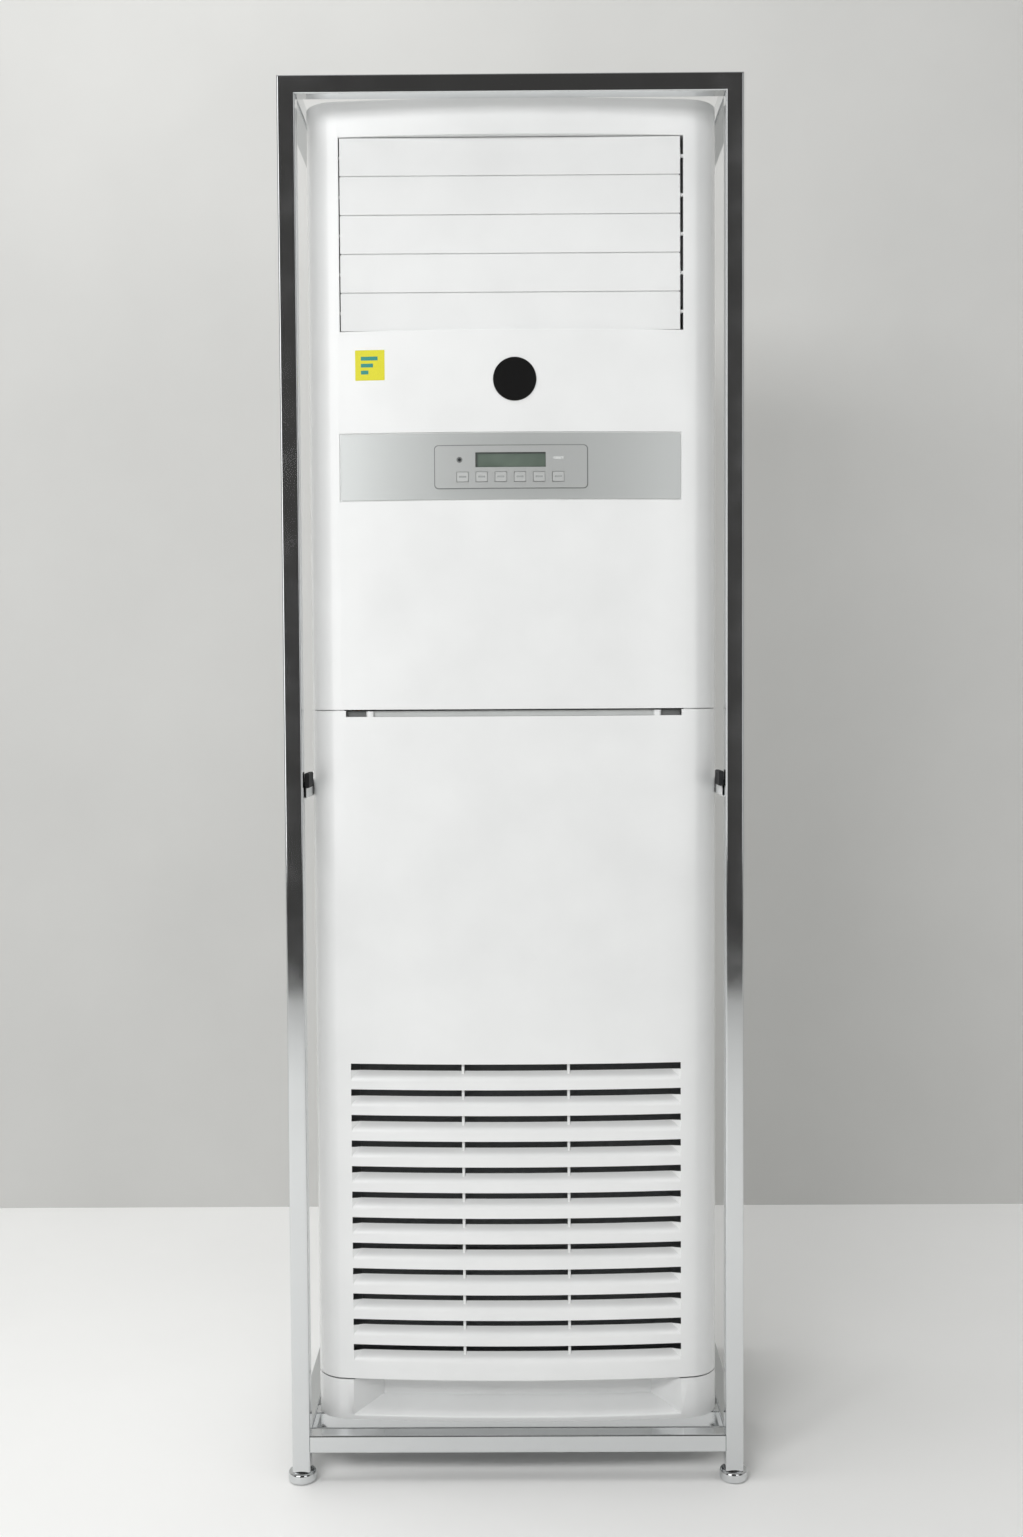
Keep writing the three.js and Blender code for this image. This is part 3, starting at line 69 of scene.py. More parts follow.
camera = bpy.data.objects.new("camera", bpy.data.cameras.new("camera"))
bpy.context.scene.collection.objects.link(camera)
camera.data.sensor_width = SENSOR
camera.data.lens = SENSOR * FOCAL_PX / LONG_SIDE_PX
camera.data.clip_start, camera.data.clip_end = 0.05, 60
axes = Matrix((turned_right, turned_up, -forward)).transposed()
camera.matrix_world = Matrix.Translation(CAMERA_AT) @ axes.to_4x4()
bpy.context.scene.camera = camera
print("lens", round(camera.data.lens, 2), "mm")

# %% [markdown]
# A material is a small web of nodes. One helper adds a node with its settings and its links, and
# one turns an sRGB hex colour, as a colour picker shows it, into the linear light Blender works in.

# %% node helpers
def linear(hex_colour):
    channels = [int(hex_colour[i:i + 2], 16) / 255 for i in (0, 2, 4)]
    return [c / 12.92 if c <= 0.04045 else ((c + 0.055) / 1.055) ** 2.4 for c in channels] + [1]


def node(tree, kind, settings=None, **inputs):
    """Adds a node; an input is a value, or (other node, its output's name) to link."""
    made = tree.nodes.new("ShaderNode" + kind)
    for name, value in (settings or {}).items():
        setattr(made, name, value)
    for name, value in inputs.items():
        socket = made.inputs[int(name[1:]) if name[1:].isdigit() else name.replace("_", " ")]
        if isinstance(value, tuple) and hasattr(value[0], "outputs"):
            tree.links.new(value[0].outputs[value[1]], socket)
        else:
            socket.default_value = value
    return made


def blank(name):
    material = bpy.data.materials.new(name)
    material.use_nodes = True
    material.node_tree.nodes.clear()
    return material, material.node_tree


def surface(tree, shader):
    node(tree, "OutputMaterial", Surface=(shader, 0))


def grain(tree, size_mm, detail=2.0, stretch=(1, 1, 1), kind="TexNoise", **more):
    """A pattern in object space whose cells are about size_mm across."""
    place = node(tree, "TexCoord")
    mapped = node(tree, "Mapping", Vector=(place, "Object"),
                  Scale=[s / (size_mm * MM) for s in stretch])
    if kind == "TexNoise":
        more.setdefault("Detail", detail)
        more.setdefault("Scale", 1.0)
    return node(tree, kind, Vector=(mapped, 0), **more)


def spread(tree, pattern, low, high, near=0.35, far=0.65, output=0):
    """Turns a pattern's middle range into values from low to high."""
    return node(tree, "MapRange", Value=(pattern, output), From_Min=near, From_Max=far,
                To_Min=low, To_Max=high)


def bump(tree, pattern, height_mm, strength=1.0, output=0, normal=None):
    inputs = {"Height": (pattern, output), "Distance": height_mm * MM, "Strength": strength}
    if normal:
        inputs["Normal"] = (normal, 0)
    return node(tree, "Bump", **inputs)


def tinted(tree, pattern, dark, light, near=0.3, far=0.7, output=0):
    """Blends two colours over a pattern's middle range."""
    share = spread(tree, pattern, 0.0, 1.0, near, far, output)
    return node(tree, "Mix", {"data_type": "RGBA"}, _0=(share, 0), _6=linear(dark), _7=linear(light))


# %% [markdown]
# The frame is stainless steel tube polished to a mirror. A metal's colour is the colour of its
# reflection, so it is pale, fully metallic and almost smooth. Fine polishing lines run along the
# tube and soften the reflection a little more in some places than in others.

# %% polished stainless steel
def polished_stainless():
    material, tree = blank("polished stainless steel")
    lines = grain(tree, 0.35, stretch=(1, 1, 0.01))
    smears = grain(tree, 60, detail=4)
    rough = spread(tree, smears, 0.07, 0.12)
    fine = bump(tree, lines, 0.002, 0.5)
    shader = node(tree, "BsdfPrincipled", Base_Color=linear("D9DBDC"), Metallic=1.0,
                  Roughness=(rough, 0), Normal=(fine, 0))
    surface(tree, shader)
    return material


POLISHED = polished_stainless()


# %% [markdown]
# The front is injection moulded ABS, glossy and faintly warm grey-white. Moulded gloss is never a
# perfect mirror: it has a very shallow waviness a few millimetres long, and handling leaves some
# places a little duller. A thin clear coat gives the sharp highlight over the softer body.

# %% moulded gloss ABS
def moulded_abs(name, pale, shade, rough_low=0.2, rough_high=0.27):
    material, tree = blank(name)
    cloud = grain(tree, 90, detail=3)
    wave = grain(tree, 7, detail=1)
    fine = grain(tree, 0.9, detail=2)
    colour = tinted(tree, cloud, shade, pale)
    rough = spread(tree, cloud, rough_low, rough_high)
    slow = bump(tree, wave, 0.006, 0.6)
    quick = bump(tree, fine, 0.004, 0.35, normal=slow)
    shader = node(tree, "BsdfPrincipled", Base_Color=(colour, "Result"), Roughness=(rough, 0),
                  IOR=1.53, Normal=(quick, 0))
    shader.inputs["Coat Weight"].default_value = 0.25
    shader.inputs["Coat Roughness"].default_value = 0.08
    surface(tree, shader)
    return material


WHITE_ABS = moulded_abs("moulded gloss ABS", "EEEFEF", "EAEBEB")
print(WHITE_ABS.name)


# %% [markdown]
# The sides, back and top are sheet steel with a baked powder coat. Powder flows out into a fine
# orange-peel skin about 1.5 mm across, which breaks up the highlight.

# %% powder coat
def powder_coat(name, pale, shade, rough=0.38):
    material, tree = blank(name)
    peel = grain(tree, 1.5, detail=1)
    cloud = grain(tree, 140, detail=3)
    colour = tinted(tree, cloud, shade, pale)
    skin = bump(tree, peel, 0.02, 0.6)
    varied = spread(tree, cloud, rough - 0.03, rough + 0.04)
    shader = node(tree, "BsdfPrincipled", Base_Color=(colour, "Result"), Roughness=(varied, 0),
                  IOR=1.5, Normal=(skin, 0))
    surface(tree, shader)
    return material


WHITE_COAT = powder_coat("white powder coat", "E9EAEA", "E4E6E6")
BLACK_COAT = powder_coat("black motor enamel", "232527", "1C1E20", 0.45)


# %% [markdown]
# The control strip and its plate are sprayed with a silver paint: aluminium flakes, each a
# fraction of a millimetre, under a clear lacquer. The flakes tilt a little one from another, so
# the paint sparkles finely and brightens where the light comes back.

# %% silver paint
def silver_lacquer(name, pale, shade, rough):
    material, tree = blank(name)
    flakes = grain(tree, 0.5, kind="TexVoronoi")
    colour = tinted(tree, flakes, shade, pale, 0.0, 1.0, output="Color")
    tilt = bump(tree, flakes, 0.01, 0.12)
    shader = node(tree, "BsdfPrincipled", Base_Color=(colour, "Result"), Metallic=0.55,
                  Roughness=rough, Normal=(tilt, 0))
    shader.inputs["Coat Weight"].default_value = 0.3
    shader.inputs["Coat Roughness"].default_value = 0.15
    surface(tree, shader)
    return material


SILVER = silver_lacquer("silver sprayed ABS", "D1D4D3", "C8CBCA", 0.36)
SILVER_PLATE = silver_lacquer("silver sprayed ABS, finer", "D0D2D1", "C8CBCA", 0.36)
BUTTON_GREY = silver_lacquer("silver sprayed keys", "D6D8D7", "CFD1D0", 0.4)


# %% [markdown]
# Inner and small parts: moulded grey plastic and smoked acrylic with a spark-eroded grain, a black
# that stands as painted shade in the screws' cross recesses, zinc-coated sheet with its frost-like
# crystals, bare copper, rolled aluminium fins, rubber and foam.

# %% small parts' finishes
def grained_plastic(name, pale, shade, rough=0.5, grain_mm=0.6, depth=0.02):
    material, tree = blank(name)
    erosion = grain(tree, grain_mm, detail=3)
    cloud = grain(tree, 40, detail=2)
    colour = tinted(tree, cloud, shade, pale)
    skin = bump(tree, erosion, depth, 0.7)
    varied = spread(tree, erosion, rough - 0.05, rough + 0.06)
    shader = node(tree, "BsdfPrincipled", Base_Color=(colour, "Result"), Roughness=(varied, 0),
                  IOR=1.5, Normal=(skin, 0))
    surface(tree, shader)
    return material


def bare_metal(name, pale, shade, rough, cell_mm, kind="TexVoronoi", stretch=(1, 1, 1)):
    material, tree = blank(name)
    cells = grain(tree, cell_mm, kind=kind, stretch=stretch)
    output = "Color" if kind == "TexVoronoi" else 0
    colour = tinted(tree, cells, shade, pale, 0.1, 0.9, output=output)
    varied = spread(tree, cells, rough - 0.06, rough + 0.08, 0.1, 0.9, output=output)
    lines = bump(tree, grain(tree, 0.4, stretch=(1, 0.05, 1)), 0.01, 0.3)
    shader = node(tree, "BsdfPrincipled", Base_Color=(colour, "Result"), Metallic=1.0,
                  Roughness=(varied, 0), Normal=(lines, 0))
    surface(tree, shader)
    return material


LINK_GREY = grained_plastic("acetal", "B8BCBE", "AEB2B4", 0.5)
# This black is painted shade: it fills the screws' cross recesses.
RECESS_PAINTED_SHADE_BLACK = grained_plastic("black, painted recess shade", "26282A", "1F2123", 0.5)
SMOKED = grained_plastic("smoked acrylic", "3A3C3E", "323436", 0.12, 4, 0.002)
RUBBER = grained_plastic("black rubber sleeve", "1D1E20", "161718", 0.75, 0.8, 0.05)
FOAM = grained_plastic("expanded polystyrene", "ECECEA", "E2E2E0", 0.85, 3.5, 0.12)
ZINC = bare_metal("zinc-coated steel", "B4B8BA", "9DA2A5", 0.42, 9)
COPPER = bare_metal("drawn copper tube", "C88A66", "B07250", 0.28, 30, "TexNoise")
FIN = bare_metal("rolled aluminium fin stock", "CDD0D3", "B7BBBF", 0.35, 6, "TexNoise", (6, 1, 1))
print(len(bpy.data.materials), "materials")


# %% [markdown]
# The filter's windows are a nylon mesh. Its threads, about 1 mm apart, are drawn as two sets of
# ridges that cross, with dark gaps between them; the moulded bars round the windows are the same
# black plastic, so one material serves the whole filter.

# %% filter mesh
def woven_mesh(name, pitch_mm):
    material, tree = blank(name)
    place = node(tree, "TexCoord")
    scale = 2 * math.pi / (pitch_mm * MM)
    axes_of = node(tree, "SeparateXYZ", Vector=(place, "Object"))
    ridges = []
    for axis in ("X", "Z"):
        along = node(tree, "Math", {"operation": "MULTIPLY"}, _0=(axes_of, axis), _1=scale)
        ridges.append(node(tree, "Math", {"operation": "SINE"}, _0=(along, 0)))
    both = node(tree, "Math", {"operation": "MAXIMUM"}, _0=(ridges[0], 0), _1=(ridges[1], 0))
    colour = tinted(tree, both, "27292A", "595C5D", 0.0, 1.0)
    relief = bump(tree, both, 0.15, 0.6)
    shader = node(tree, "BsdfPrincipled", Base_Color=(colour, "Result"), Roughness=0.6,
                  Normal=(relief, 0))
    surface(tree, shader)
    return material


MESH_BLACK = woven_mesh("woven nylon mesh", 1.6)


# %% [markdown]
# The display's cover is clear and the panel under it is a grey-green liquid crystal sheet. With
# the unit off no segment is lit, only the faint grid of the sheet shows under the gloss.

# %% display cover
def display_cover():
    material, tree = blank("display cover")
    cells = grain(tree, 1.2, detail=0)
    fade = grain(tree, 30, detail=1)
    colour = tinted(tree, fade, "5F6B62", "6B776E")
    shader = node(tree, "BsdfPrincipled", Base_Color=(colour, "Result"), Roughness=0.12, IOR=1.49,
                  Normal=(bump(tree, cells, 0.002, 0.3), 0))
    surface(tree, shader)
    return material


DISPLAY = display_cover()


# %% [markdown]
# Vinyl stickers are thin, flat and slightly softer in gloss than the moulding under them.

# %% vinyl
def vinyl(name, pale, shade, rough=0.35):
    material, tree = blank(name)
    fine = grain(tree, 1.4, detail=2)
    colour = tinted(tree, fine, shade, pale)
    shader = node(tree, "BsdfPrincipled", Base_Color=(colour, "Result"), Roughness=rough,
                  Normal=(bump(tree, fine, 0.006, 0.4), 0))
    surface(tree, shader)
    return material


YELLOW_VINYL = vinyl("yellow vinyl", "DDD728", "D6CF20")
TEAL_VINYL = vinyl("teal vinyl", "2F8F84", "2A857B")
BLACK_VINYL = vinyl("black badge lacquer", "141414", "0F0F0F", 0.25)
PRINT_GREY = vinyl("grey print", "A3A6A5", "989B9A", 0.5)
PRINT_WHITE = vinyl("white print", "CDCFCE", "C5C7C6", 0.5)
LENS_RING = vinyl("moulded lens ring", "7E807F", "767877", 0.35)
# Painted shadow: a grey line round the raised plate's edge.
PLATE_SEAT_PAINTED_SHADOW = vinyl("grey seat line, painted shadow", "858887", "7C7F7E", 0.5)
# Painted inner shadow: a dark frame round the display's glass.
GASKET_PAINTED_SHADOW = vinyl("display gasket, painted inner shadow", "4B514D", "434945", 0.6)

# %% [markdown]
# Every CAD node that stays in sight gets its finish through its own material slots.

# %% finishes for the CAD nodes
FINISHES = {
    POLISHED: ["upright_", "foot_", "top_rail_", "bottom_rail_", "cross_bar_"],
    RUBBER: ["mid_rail_"],
    ZINC: ["base_pan", "fan_scroll", "fan_wheel"],
    WHITE_ABS: ["plinth_cover", "upper_front_panel", "lower_front_panel", "outlet_frame",
                "louvre_1", "louvre_2", "louvre_3", "louvre_4", "louvre_5"],
    WHITE_COAT: ["side_panel_", "rear_panel", "top_cover"],
    SILVER: ["control_fascia"],
    SILVER_PLATE: ["control_plate"],
    BUTTON_GREY: ["button_"],
    LINK_GREY: ["louvre_link", "vane_link", "electrical_box"],
    DISPLAY: ["lcd_window"],
    SMOKED: ["receiver_lens"],
    MESH_BLACK: ["air_filter"],
    FOAM: ["drain_pan", "vane_1", "vane_2", "vane_3", "vane_4"],
    BLACK_COAT: ["louvre_motor", "fan_motor"],
    FIN: ["evaporator_coil"],
    COPPER: ["pipe_"],
}
dressed = set()
for material, starts in FINISHES.items():
    for name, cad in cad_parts.items():
        if any(name == s or (s.endswith("_") and name.startswith(s)) for s in starts):
            cad.data.materials.clear()
            cad.data.materials.append(material)
            dressed.add(name)
print("nodes with a finish:", len(dressed), "of", len(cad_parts))

# %% [markdown]
# Now the pieces that deserve more than the CAD solid shows. Each is a bmesh in millimetres; one
# helper scales it to metres, gives it its finish, smooths what is round, names the body it rides
# on and hides the CAD node it stands for.

# %% from bmesh to piece
def finished(name, bm, material, body, replaced=(), wall=0, edge=0, segments=3, sharp=35):
    bmesh.ops.scale(bm, vec=(MM, MM, MM), verts=bm.verts)
    bm.edges.index_update()
    rims = [e.index for e in bm.edges if e.is_boundary]
    mesh = bpy.data.meshes.new(name)
    bm.to_mesh(mesh)
    bm.free()
    mesh.shade_smooth()
    mesh.set_sharp_from_angle(angle=math.radians(sharp))
    for index in rims:
        mesh.edges[index].use_edge_sharp = True
    piece = bpy.data.objects.new(name, mesh)
    bpy.context.scene.collection.objects.link(piece)
    mesh.materials.append(material)
    if wall:
        shell = piece.modifiers.new("wall", "SOLIDIFY")
        shell.thickness, shell.offset, shell.use_even_offset = wall * MM, -1, True
    if edge:
        rounding = piece.modifiers.new("edges", "BEVEL")
        rounding.width, rounding.segments = edge * MM, segments
        rounding.limit_method, rounding.angle_limit = "ANGLE", math.radians(40)
        rounding.harden_normals = True
    flats = piece.modifiers.new("flats shade flat", "WEIGHTED_NORMAL")
    flats.keep_sharp = True
    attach(piece, body)
    if replaced:
        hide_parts(*replaced)
    return piece


def block(bm, x0, x1, y0, y1, z0, z1):
    """Adds a box and returns its vertices."""
    made = bmesh.ops.create_cube(bm, size=1)["verts"]
    bmesh.ops.scale(bm, vec=(x1 - x0, y1 - y0, z1 - z0), verts=made)
    bmesh.ops.translate(bm, vec=((x0 + x1) / 2, (y0 + y1) / 2, (z0 + z1) / 2), verts=made)
    return made


def long_edges(verts, axis):
    """The edges of some vertices that run along axis 0, 1 or 2."""
    edges = {e for v in verts for e in v.link_edges}
    return [e for e in edges
            if all(abs(e.verts[0].co[i] - e.verts[1].co[i]) < 1e-4 for i in range(3) if i != axis)]


def rounded(bm, edges, radius, segments=4):
    bmesh.ops.bevel(bm, geom=edges, offset=radius, offset_type="OFFSET", segments=segments,
                    profile=0.5, affect="EDGES", material=-1, clamp_overlap=True)


def low_high(node_name):
    low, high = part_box(node_name)
    return Vector(low) / MM, Vector(high) / MM


# %% [markdown]
# The frame is cold-formed square tube: flat sides, corners rounded to 2.5 mm, a 1.5 mm wall. Each
# length is a box with its ends off, its long edges rolled over with a bevel, and a Solidify wall.
# The top corners are mitred, so the two lengths are cut by the same 45 degree plane and their
# polished faces meet in one line.

# %% frame tubes
TUBE = 25
WALL = 1.5
TUBE_R = 2.5


def tube_piece(name, axis, mitres=(), material=POLISHED):
    low, high = low_high(name)
    bm = bmesh.new()
    verts = block(bm, low.x, high.x, low.y, high.y, low.z, high.z)
    ends = [f for f in bm.faces if abs(f.normal[axis]) > 0.9]
    bmesh.ops.delete(bm, geom=ends, context="FACES_ONLY")
    rounded(bm, long_edges(verts, axis), TUBE_R, 6)
    for at, normal in mitres:
        bmesh.ops.bisect_plane(bm, geom=bm.verts[:] + bm.edges[:] + bm.faces[:],
                               plane_co=at, plane_no=normal, clear_outer=True)
    return finished(name + "_tube", bm, material, "casing", [name], wall=WALL, sharp=50)


frame_low, frame_high = low_high("top_rail_front")
OUT_HALF = frame_high.x
IN_HALF = OUT_HALF - TUBE
RAIL_LOW = frame_low.z
for side in ("left", "right"):
    sign = 1 if side == "right" else -1
    inner = (sign * IN_HALF, 0, RAIL_LOW)
    for end in ("front", "rear"):
        tube_piece(f"upright_{end}_{side}", 2, [(inner, (-sign, 0, 1))])
    for level in ("top", "bottom"):
        tube_piece(f"{level}_rail_{side}", 1)
    tube_piece(f"mid_rail_{side}", 1, (), WHITE_COAT)
for end in ("front", "rear"):
    cuts = [((sign * IN_HALF, 0, RAIL_LOW), (sign, 0, -1)) for sign in (-1, 1)]
    tube_piece(f"top_rail_{end}", 0, cuts)
    tube_piece(f"bottom_rail_{end}", 0)
    tube_piece(f"cross_bar_{end}", 0)
print("tubes made, frame", round(2 * OUT_HALF), "mm wide")

# %% [markdown]
# The rails half way up are enamelled white. A black rubber bumper between each front upright and
# the cabinet keeps the two from rubbing; it shows as a small dark mark in the gap.

# %% rubber bumpers
for side, sign in (("left", -1), ("right", 1)):
    x = sorted((sign * (IN_HALF - 0.3), sign * (IN_HALF - 7)))
    bm = bmesh.new()
    bumper = block(bm, x[0], x[1], -222, -176, 972.7, 993.4)
    rounded(bm, long_edges(bumper, 1), 2, 4)
    finished(f"bumper_{side}", bm, RUBBER, "casing", edge=0.8)

# %% [markdown]
# A foot is a turned and chromed cap: a few points drawn on one side of its axis and spun round.

# %% feet
CHROME_PROFILE = [(0, 0), (15.5, 0), (17.4, 0.4), (18.8, 1.6), (19.5, 3.6), (19.7, 6), (19.7, 11),
                  (19.2, 13.2), (18.2, 14.8), (16, 15.6), (10.6, 15.7), (10.6, 36), (0, 36)]


def spun(bm, profile, centre, steps=48):
    """Spins (radius, height) points round a vertical axis through centre."""
    chain = [bm.verts.new((centre[0] + r, centre[1], z)) for r, z in profile]
    edges = [bm.edges.new(pair) for pair in zip(chain, chain[1:])]
    bmesh.ops.spin(bm, geom=chain + edges, cent=(centre[0], centre[1], 0), axis=(0, 0, 1),
                   angle=math.tau, steps=steps, use_merge=True)
    bmesh.ops.remove_doubles(bm, verts=bm.verts, dist=0.001)
    bmesh.ops.recalc_face_normals(bm, faces=bm.faces)


for end in ("front", "rear"):
    for side in ("left", "right"):
        name = f"foot_{end}_{side}"
        low, high = low_high(name)
        bm = bmesh.new()
        spun(bm, CHROME_PROFILE, ((low.x + high.x) / 2, (low.y + high.y) / 2))
        finished(name + "_cap", bm, POLISHED, "casing", [name], sharp=40)

# %% [markdown]
# The moulded front is one gentle bow, 11 mm proud over the whole width, that turns into rounded
# corners. It is easiest to model flat: a sheet with its holes, ledges and slats drawn straight.
# A last step bends everything by the bow's height at each point's x, so that all the front's
# pieces stay in step. The fine crease where bow and corner meet is a groove in the sheet.

# %% the flat front sheet and its bend
HALF = 286.5
CORNER_R = 46
BOW_RISE = 11
CHORD_HALF = 235
FRONT_Y = -198
WING_Y = -130
BOW_R = (CHORD_HALF ** 2 + BOW_RISE ** 2) / (2 * BOW_RISE)
BOW_END = (HALF - CORNER_R) / (1 - CORNER_R / BOW_R)
BOW_ANGLE = math.asin(BOW_END / BOW_R)
BOW_DROP = BOW_R * (1 - math.cos(BOW_ANGLE))
SKIN = 1.9


def bend(bm):
    for v in bm.verts:
        x = min(abs(v.co.x), BOW_END)
        v.co.y += BOW_R - math.sqrt(BOW_R ** 2 - x * x)


def everything(bm):
    return bm.verts[:] + bm.edges[:] + bm.faces[:]


def split(bm, axis, places):
    normal = [0, 0, 0]
    normal[axis] = 1
    for place in places:
        at = [0, 0, 0]
        at[axis] = place
        bmesh.ops.bisect_plane(bm, geom=everything(bm), plane_co=at, plane_no=normal, dist=1e-4)


def face_front(bm):
    """Turns a sheet's faces so that the front ones look out at -Y."""
    bmesh.ops.recalc_face_normals(bm, faces=bm.faces)
    middle = min(bm.faces, key=lambda f: f.calc_center_median().y)
    if middle.normal.y > 0:
        bmesh.ops.reverse_faces(bm, faces=bm.faces)


def front_sheet(low, high, x_cuts=(), z_cuts=()):
    bm = bmesh.new()
    first = bm.verts.new((-BOW_END, FRONT_Y, low))
    second = bm.verts.new((BOW_END, FRONT_Y, low))
    base = bm.edges.new((first, second))
    raised = bmesh.ops.extrude_edge_only(bm, edges=[base])["geom"]
    bmesh.ops.translate(bm, vec=(0, 0, high - low), verts=[g for g in raised if isinstance(g, bmesh.types.BMVert)])
    for sign in (-1, 1):
        end = [e for e in bm.edges if all(abs(v.co.x - sign * BOW_END) < 1e-3 for v in e.verts)]
        turn = bmesh.ops.spin(bm, geom=end + list(end[0].verts),
                              cent=(sign * (HALF - CORNER_R), FRONT_Y + CORNER_R * math.cos(BOW_ANGLE), 0),
                              axis=(0, 0, 1), angle=sign * (math.pi / 2 - BOW_ANGLE), steps=10)
        last = [g for g in turn["geom_last"] if isinstance(g, bmesh.types.BMEdge)]
        wing = bmesh.ops.extrude_edge_only(bm, edges=last)["geom"]
        ends = [g for g in wing if isinstance(g, bmesh.types.BMVert)]
        bmesh.ops.translate(bm, vec=(0, WING_Y - BOW_DROP - ends[0].co.y, 0), verts=ends)
    creases = [sign * (BOW_END - 1.4) for sign in (-1, 1)]
    regular = [16 * i for i in range(-14, 15)]
    split(bm, 0, sorted(set(regular) | set(x_cuts) | set(creases)))
    split(bm, 2, z_cuts)
    for v in bm.verts:
        if abs(abs(v.co.x) - BOW_END) < 0.01 and v.co.y < FRONT_Y + 1:
            v.co.y += 0.5
    face_front(bm)
    return bm


def holes(bm, spans):
    """Deletes the flat front's faces inside (x0, x1, z0, z1) spans."""
    gone = []
    for f in bm.faces:
        c = f.calc_center_median()
        if any(x0 < c.x < x1 and z0 < c.z < z1 for x0, x1, z0, z1 in spans) and abs(c.x) < BOW_END:
            gone.append(f)
    bmesh.ops.delete(bm, geom=gone, context="FACES")


def rim(bm, x0, x1, z0, z1):
    """Open edges round a hole in the flat front."""
    def inside(v):
        return x0 - 0.01 < v.co.x < x1 + 0.01 and z0 - 0.01 < v.co.z < z1 + 0.01

    return [e for e in bm.edges if e.is_boundary and all(inside(v) and abs(v.co.y - FRONT_Y) < 0.01
                                                         for v in e.verts)]


def draw_back(bm, edges, depth, rise=0, rise_below=None):
    """Extrudes edges back by depth; vertices below rise_below also rise. Returns the new edges."""
    made = bmesh.ops.extrude_edge_only(bm, edges=edges)["geom"]
    verts = [g for g in made if isinstance(g, bmesh.types.BMVert)]
    bmesh.ops.translate(bm, vec=(0, depth, 0), verts=verts)
    if rise:
        bmesh.ops.translate(bm, vec=(0, 0, rise), verts=[v for v in verts if v.co.z < rise_below])
    return [g for g in made if isinstance(g, bmesh.types.BMEdge) and all(v in verts for v in g.verts)]


print("bow radius", round(BOW_R), "mm, turning into the corners at x", round(BOW_END, 1))

# %% [markdown]
# The upper panel: a sheet from the middle seam to the top with the outlet's opening and the
# recess for the control strip. The opening's and the recess's edges are drawn back into the
# panel, and a lip behind the middle seam keeps the light from falling through it.

# %% upper front panel
UPPER_LOW, UPPER_HIGH = 1080.15, 1917.3
OUTLET = (-238, 238, 1603.5, 1868.7)
BAND = (-240.0, 235.3, 1369.3, 1463.3)

bm = front_sheet(UPPER_LOW, UPPER_HIGH, [OUTLET[0], OUTLET[1], BAND[0], BAND[1]],
                 [OUTLET[2], OUTLET[3], BAND[2], BAND[3], 1340, 1500, 1590, 1890])
holes(bm, [OUTLET, BAND])
for hole, depth in ((OUTLET, 2.6), (BAND, 2.0)):
    edges = rim(bm, *hole)
    draw_back(bm, edges, depth)
    rounded(bm, edges, 0.7, 3)
face_front(bm)
bend(bm)
finished("upper_front_moulding", bm, WHITE_ABS, "casing", ["upper_front_panel"], wall=SKIN)

# %% lip behind the middle seam
bm = front_sheet(UPPER_LOW - 4, UPPER_LOW + 6, [-240, 240])
holes(bm, [(-236, 236, 0, 3000)])
bmesh.ops.scale(bm, vec=((HALF - 2.6) / HALF, 1, 1), verts=bm.verts)
bmesh.ops.translate(bm, vec=(0, 2.6, 0), verts=bm.verts)
bend(bm)
finished("seam_lip", bm, WHITE_ABS, "casing", wall=1.2)

# %% [markdown]
# The lower panel carries the intake grille: twelve rows of slots. Each slot's lower edge rolls
# over into a slat that runs back and up, so that fingers and the eye don't get in. The slat draws
# in at its ends, where a small three-cornered gusset closes it to the front. Along the panel's top
# is the finger slot with its ledge, and a pale catch near each end.

# %% lower front panel
LOWER_LOW, LOWER_HIGH = 127.8, 1078.65
SLOT_LOW, SLOT_PITCH, SLOT_HIGH, SLOT_ROWS = 156.35, 36.65, 21, 12
SLOT_END, RIB_IN, RIB_OUT = 233, 72.5, 76.5
SLAT_DEPTH, SLAT_RISE = 11.5, 9.6
GRIP_END, LEDGE_Z, GRIP_DEPTH = 235, LOWER_HIGH - 8.5, 12.5
LEDGE_END = 207

ROLL_R, ROLL_STEPS = 11, 7
SLOPE = math.atan(SLAT_RISE / SLAT_DEPTH)
ROLL_TURN = math.pi / 2 - SLOPE
ROLL_DROP = ROLL_R * math.sin(ROLL_TURN) - ROLL_R * (1 - math.cos(ROLL_TURN)) * math.tan(SLOPE)
GUSSET_IN, GUSSET_HIGH = 13, 11.5

slots = []
for row in range(SLOT_ROWS):
    z = SLOT_LOW + row * SLOT_PITCH
    slots.append((-SLOT_END, SLOT_END, z - ROLL_DROP, z + SLOT_HIGH))
bm = front_sheet(LOWER_LOW, LOWER_HIGH, [s * x for s in (-1, 1) for x in (SLOT_END, GRIP_END)],
                 sorted({z for s in slots for z in s[2:]} | {s[3] - SLOT_HIGH + GUSSET_HIGH for s in slots}
                        | {LEDGE_Z, 640, 800, 960}))
grip = (-GRIP_END, GRIP_END, LEDGE_Z, LOWER_HIGH)
holes(bm, slots + [grip])


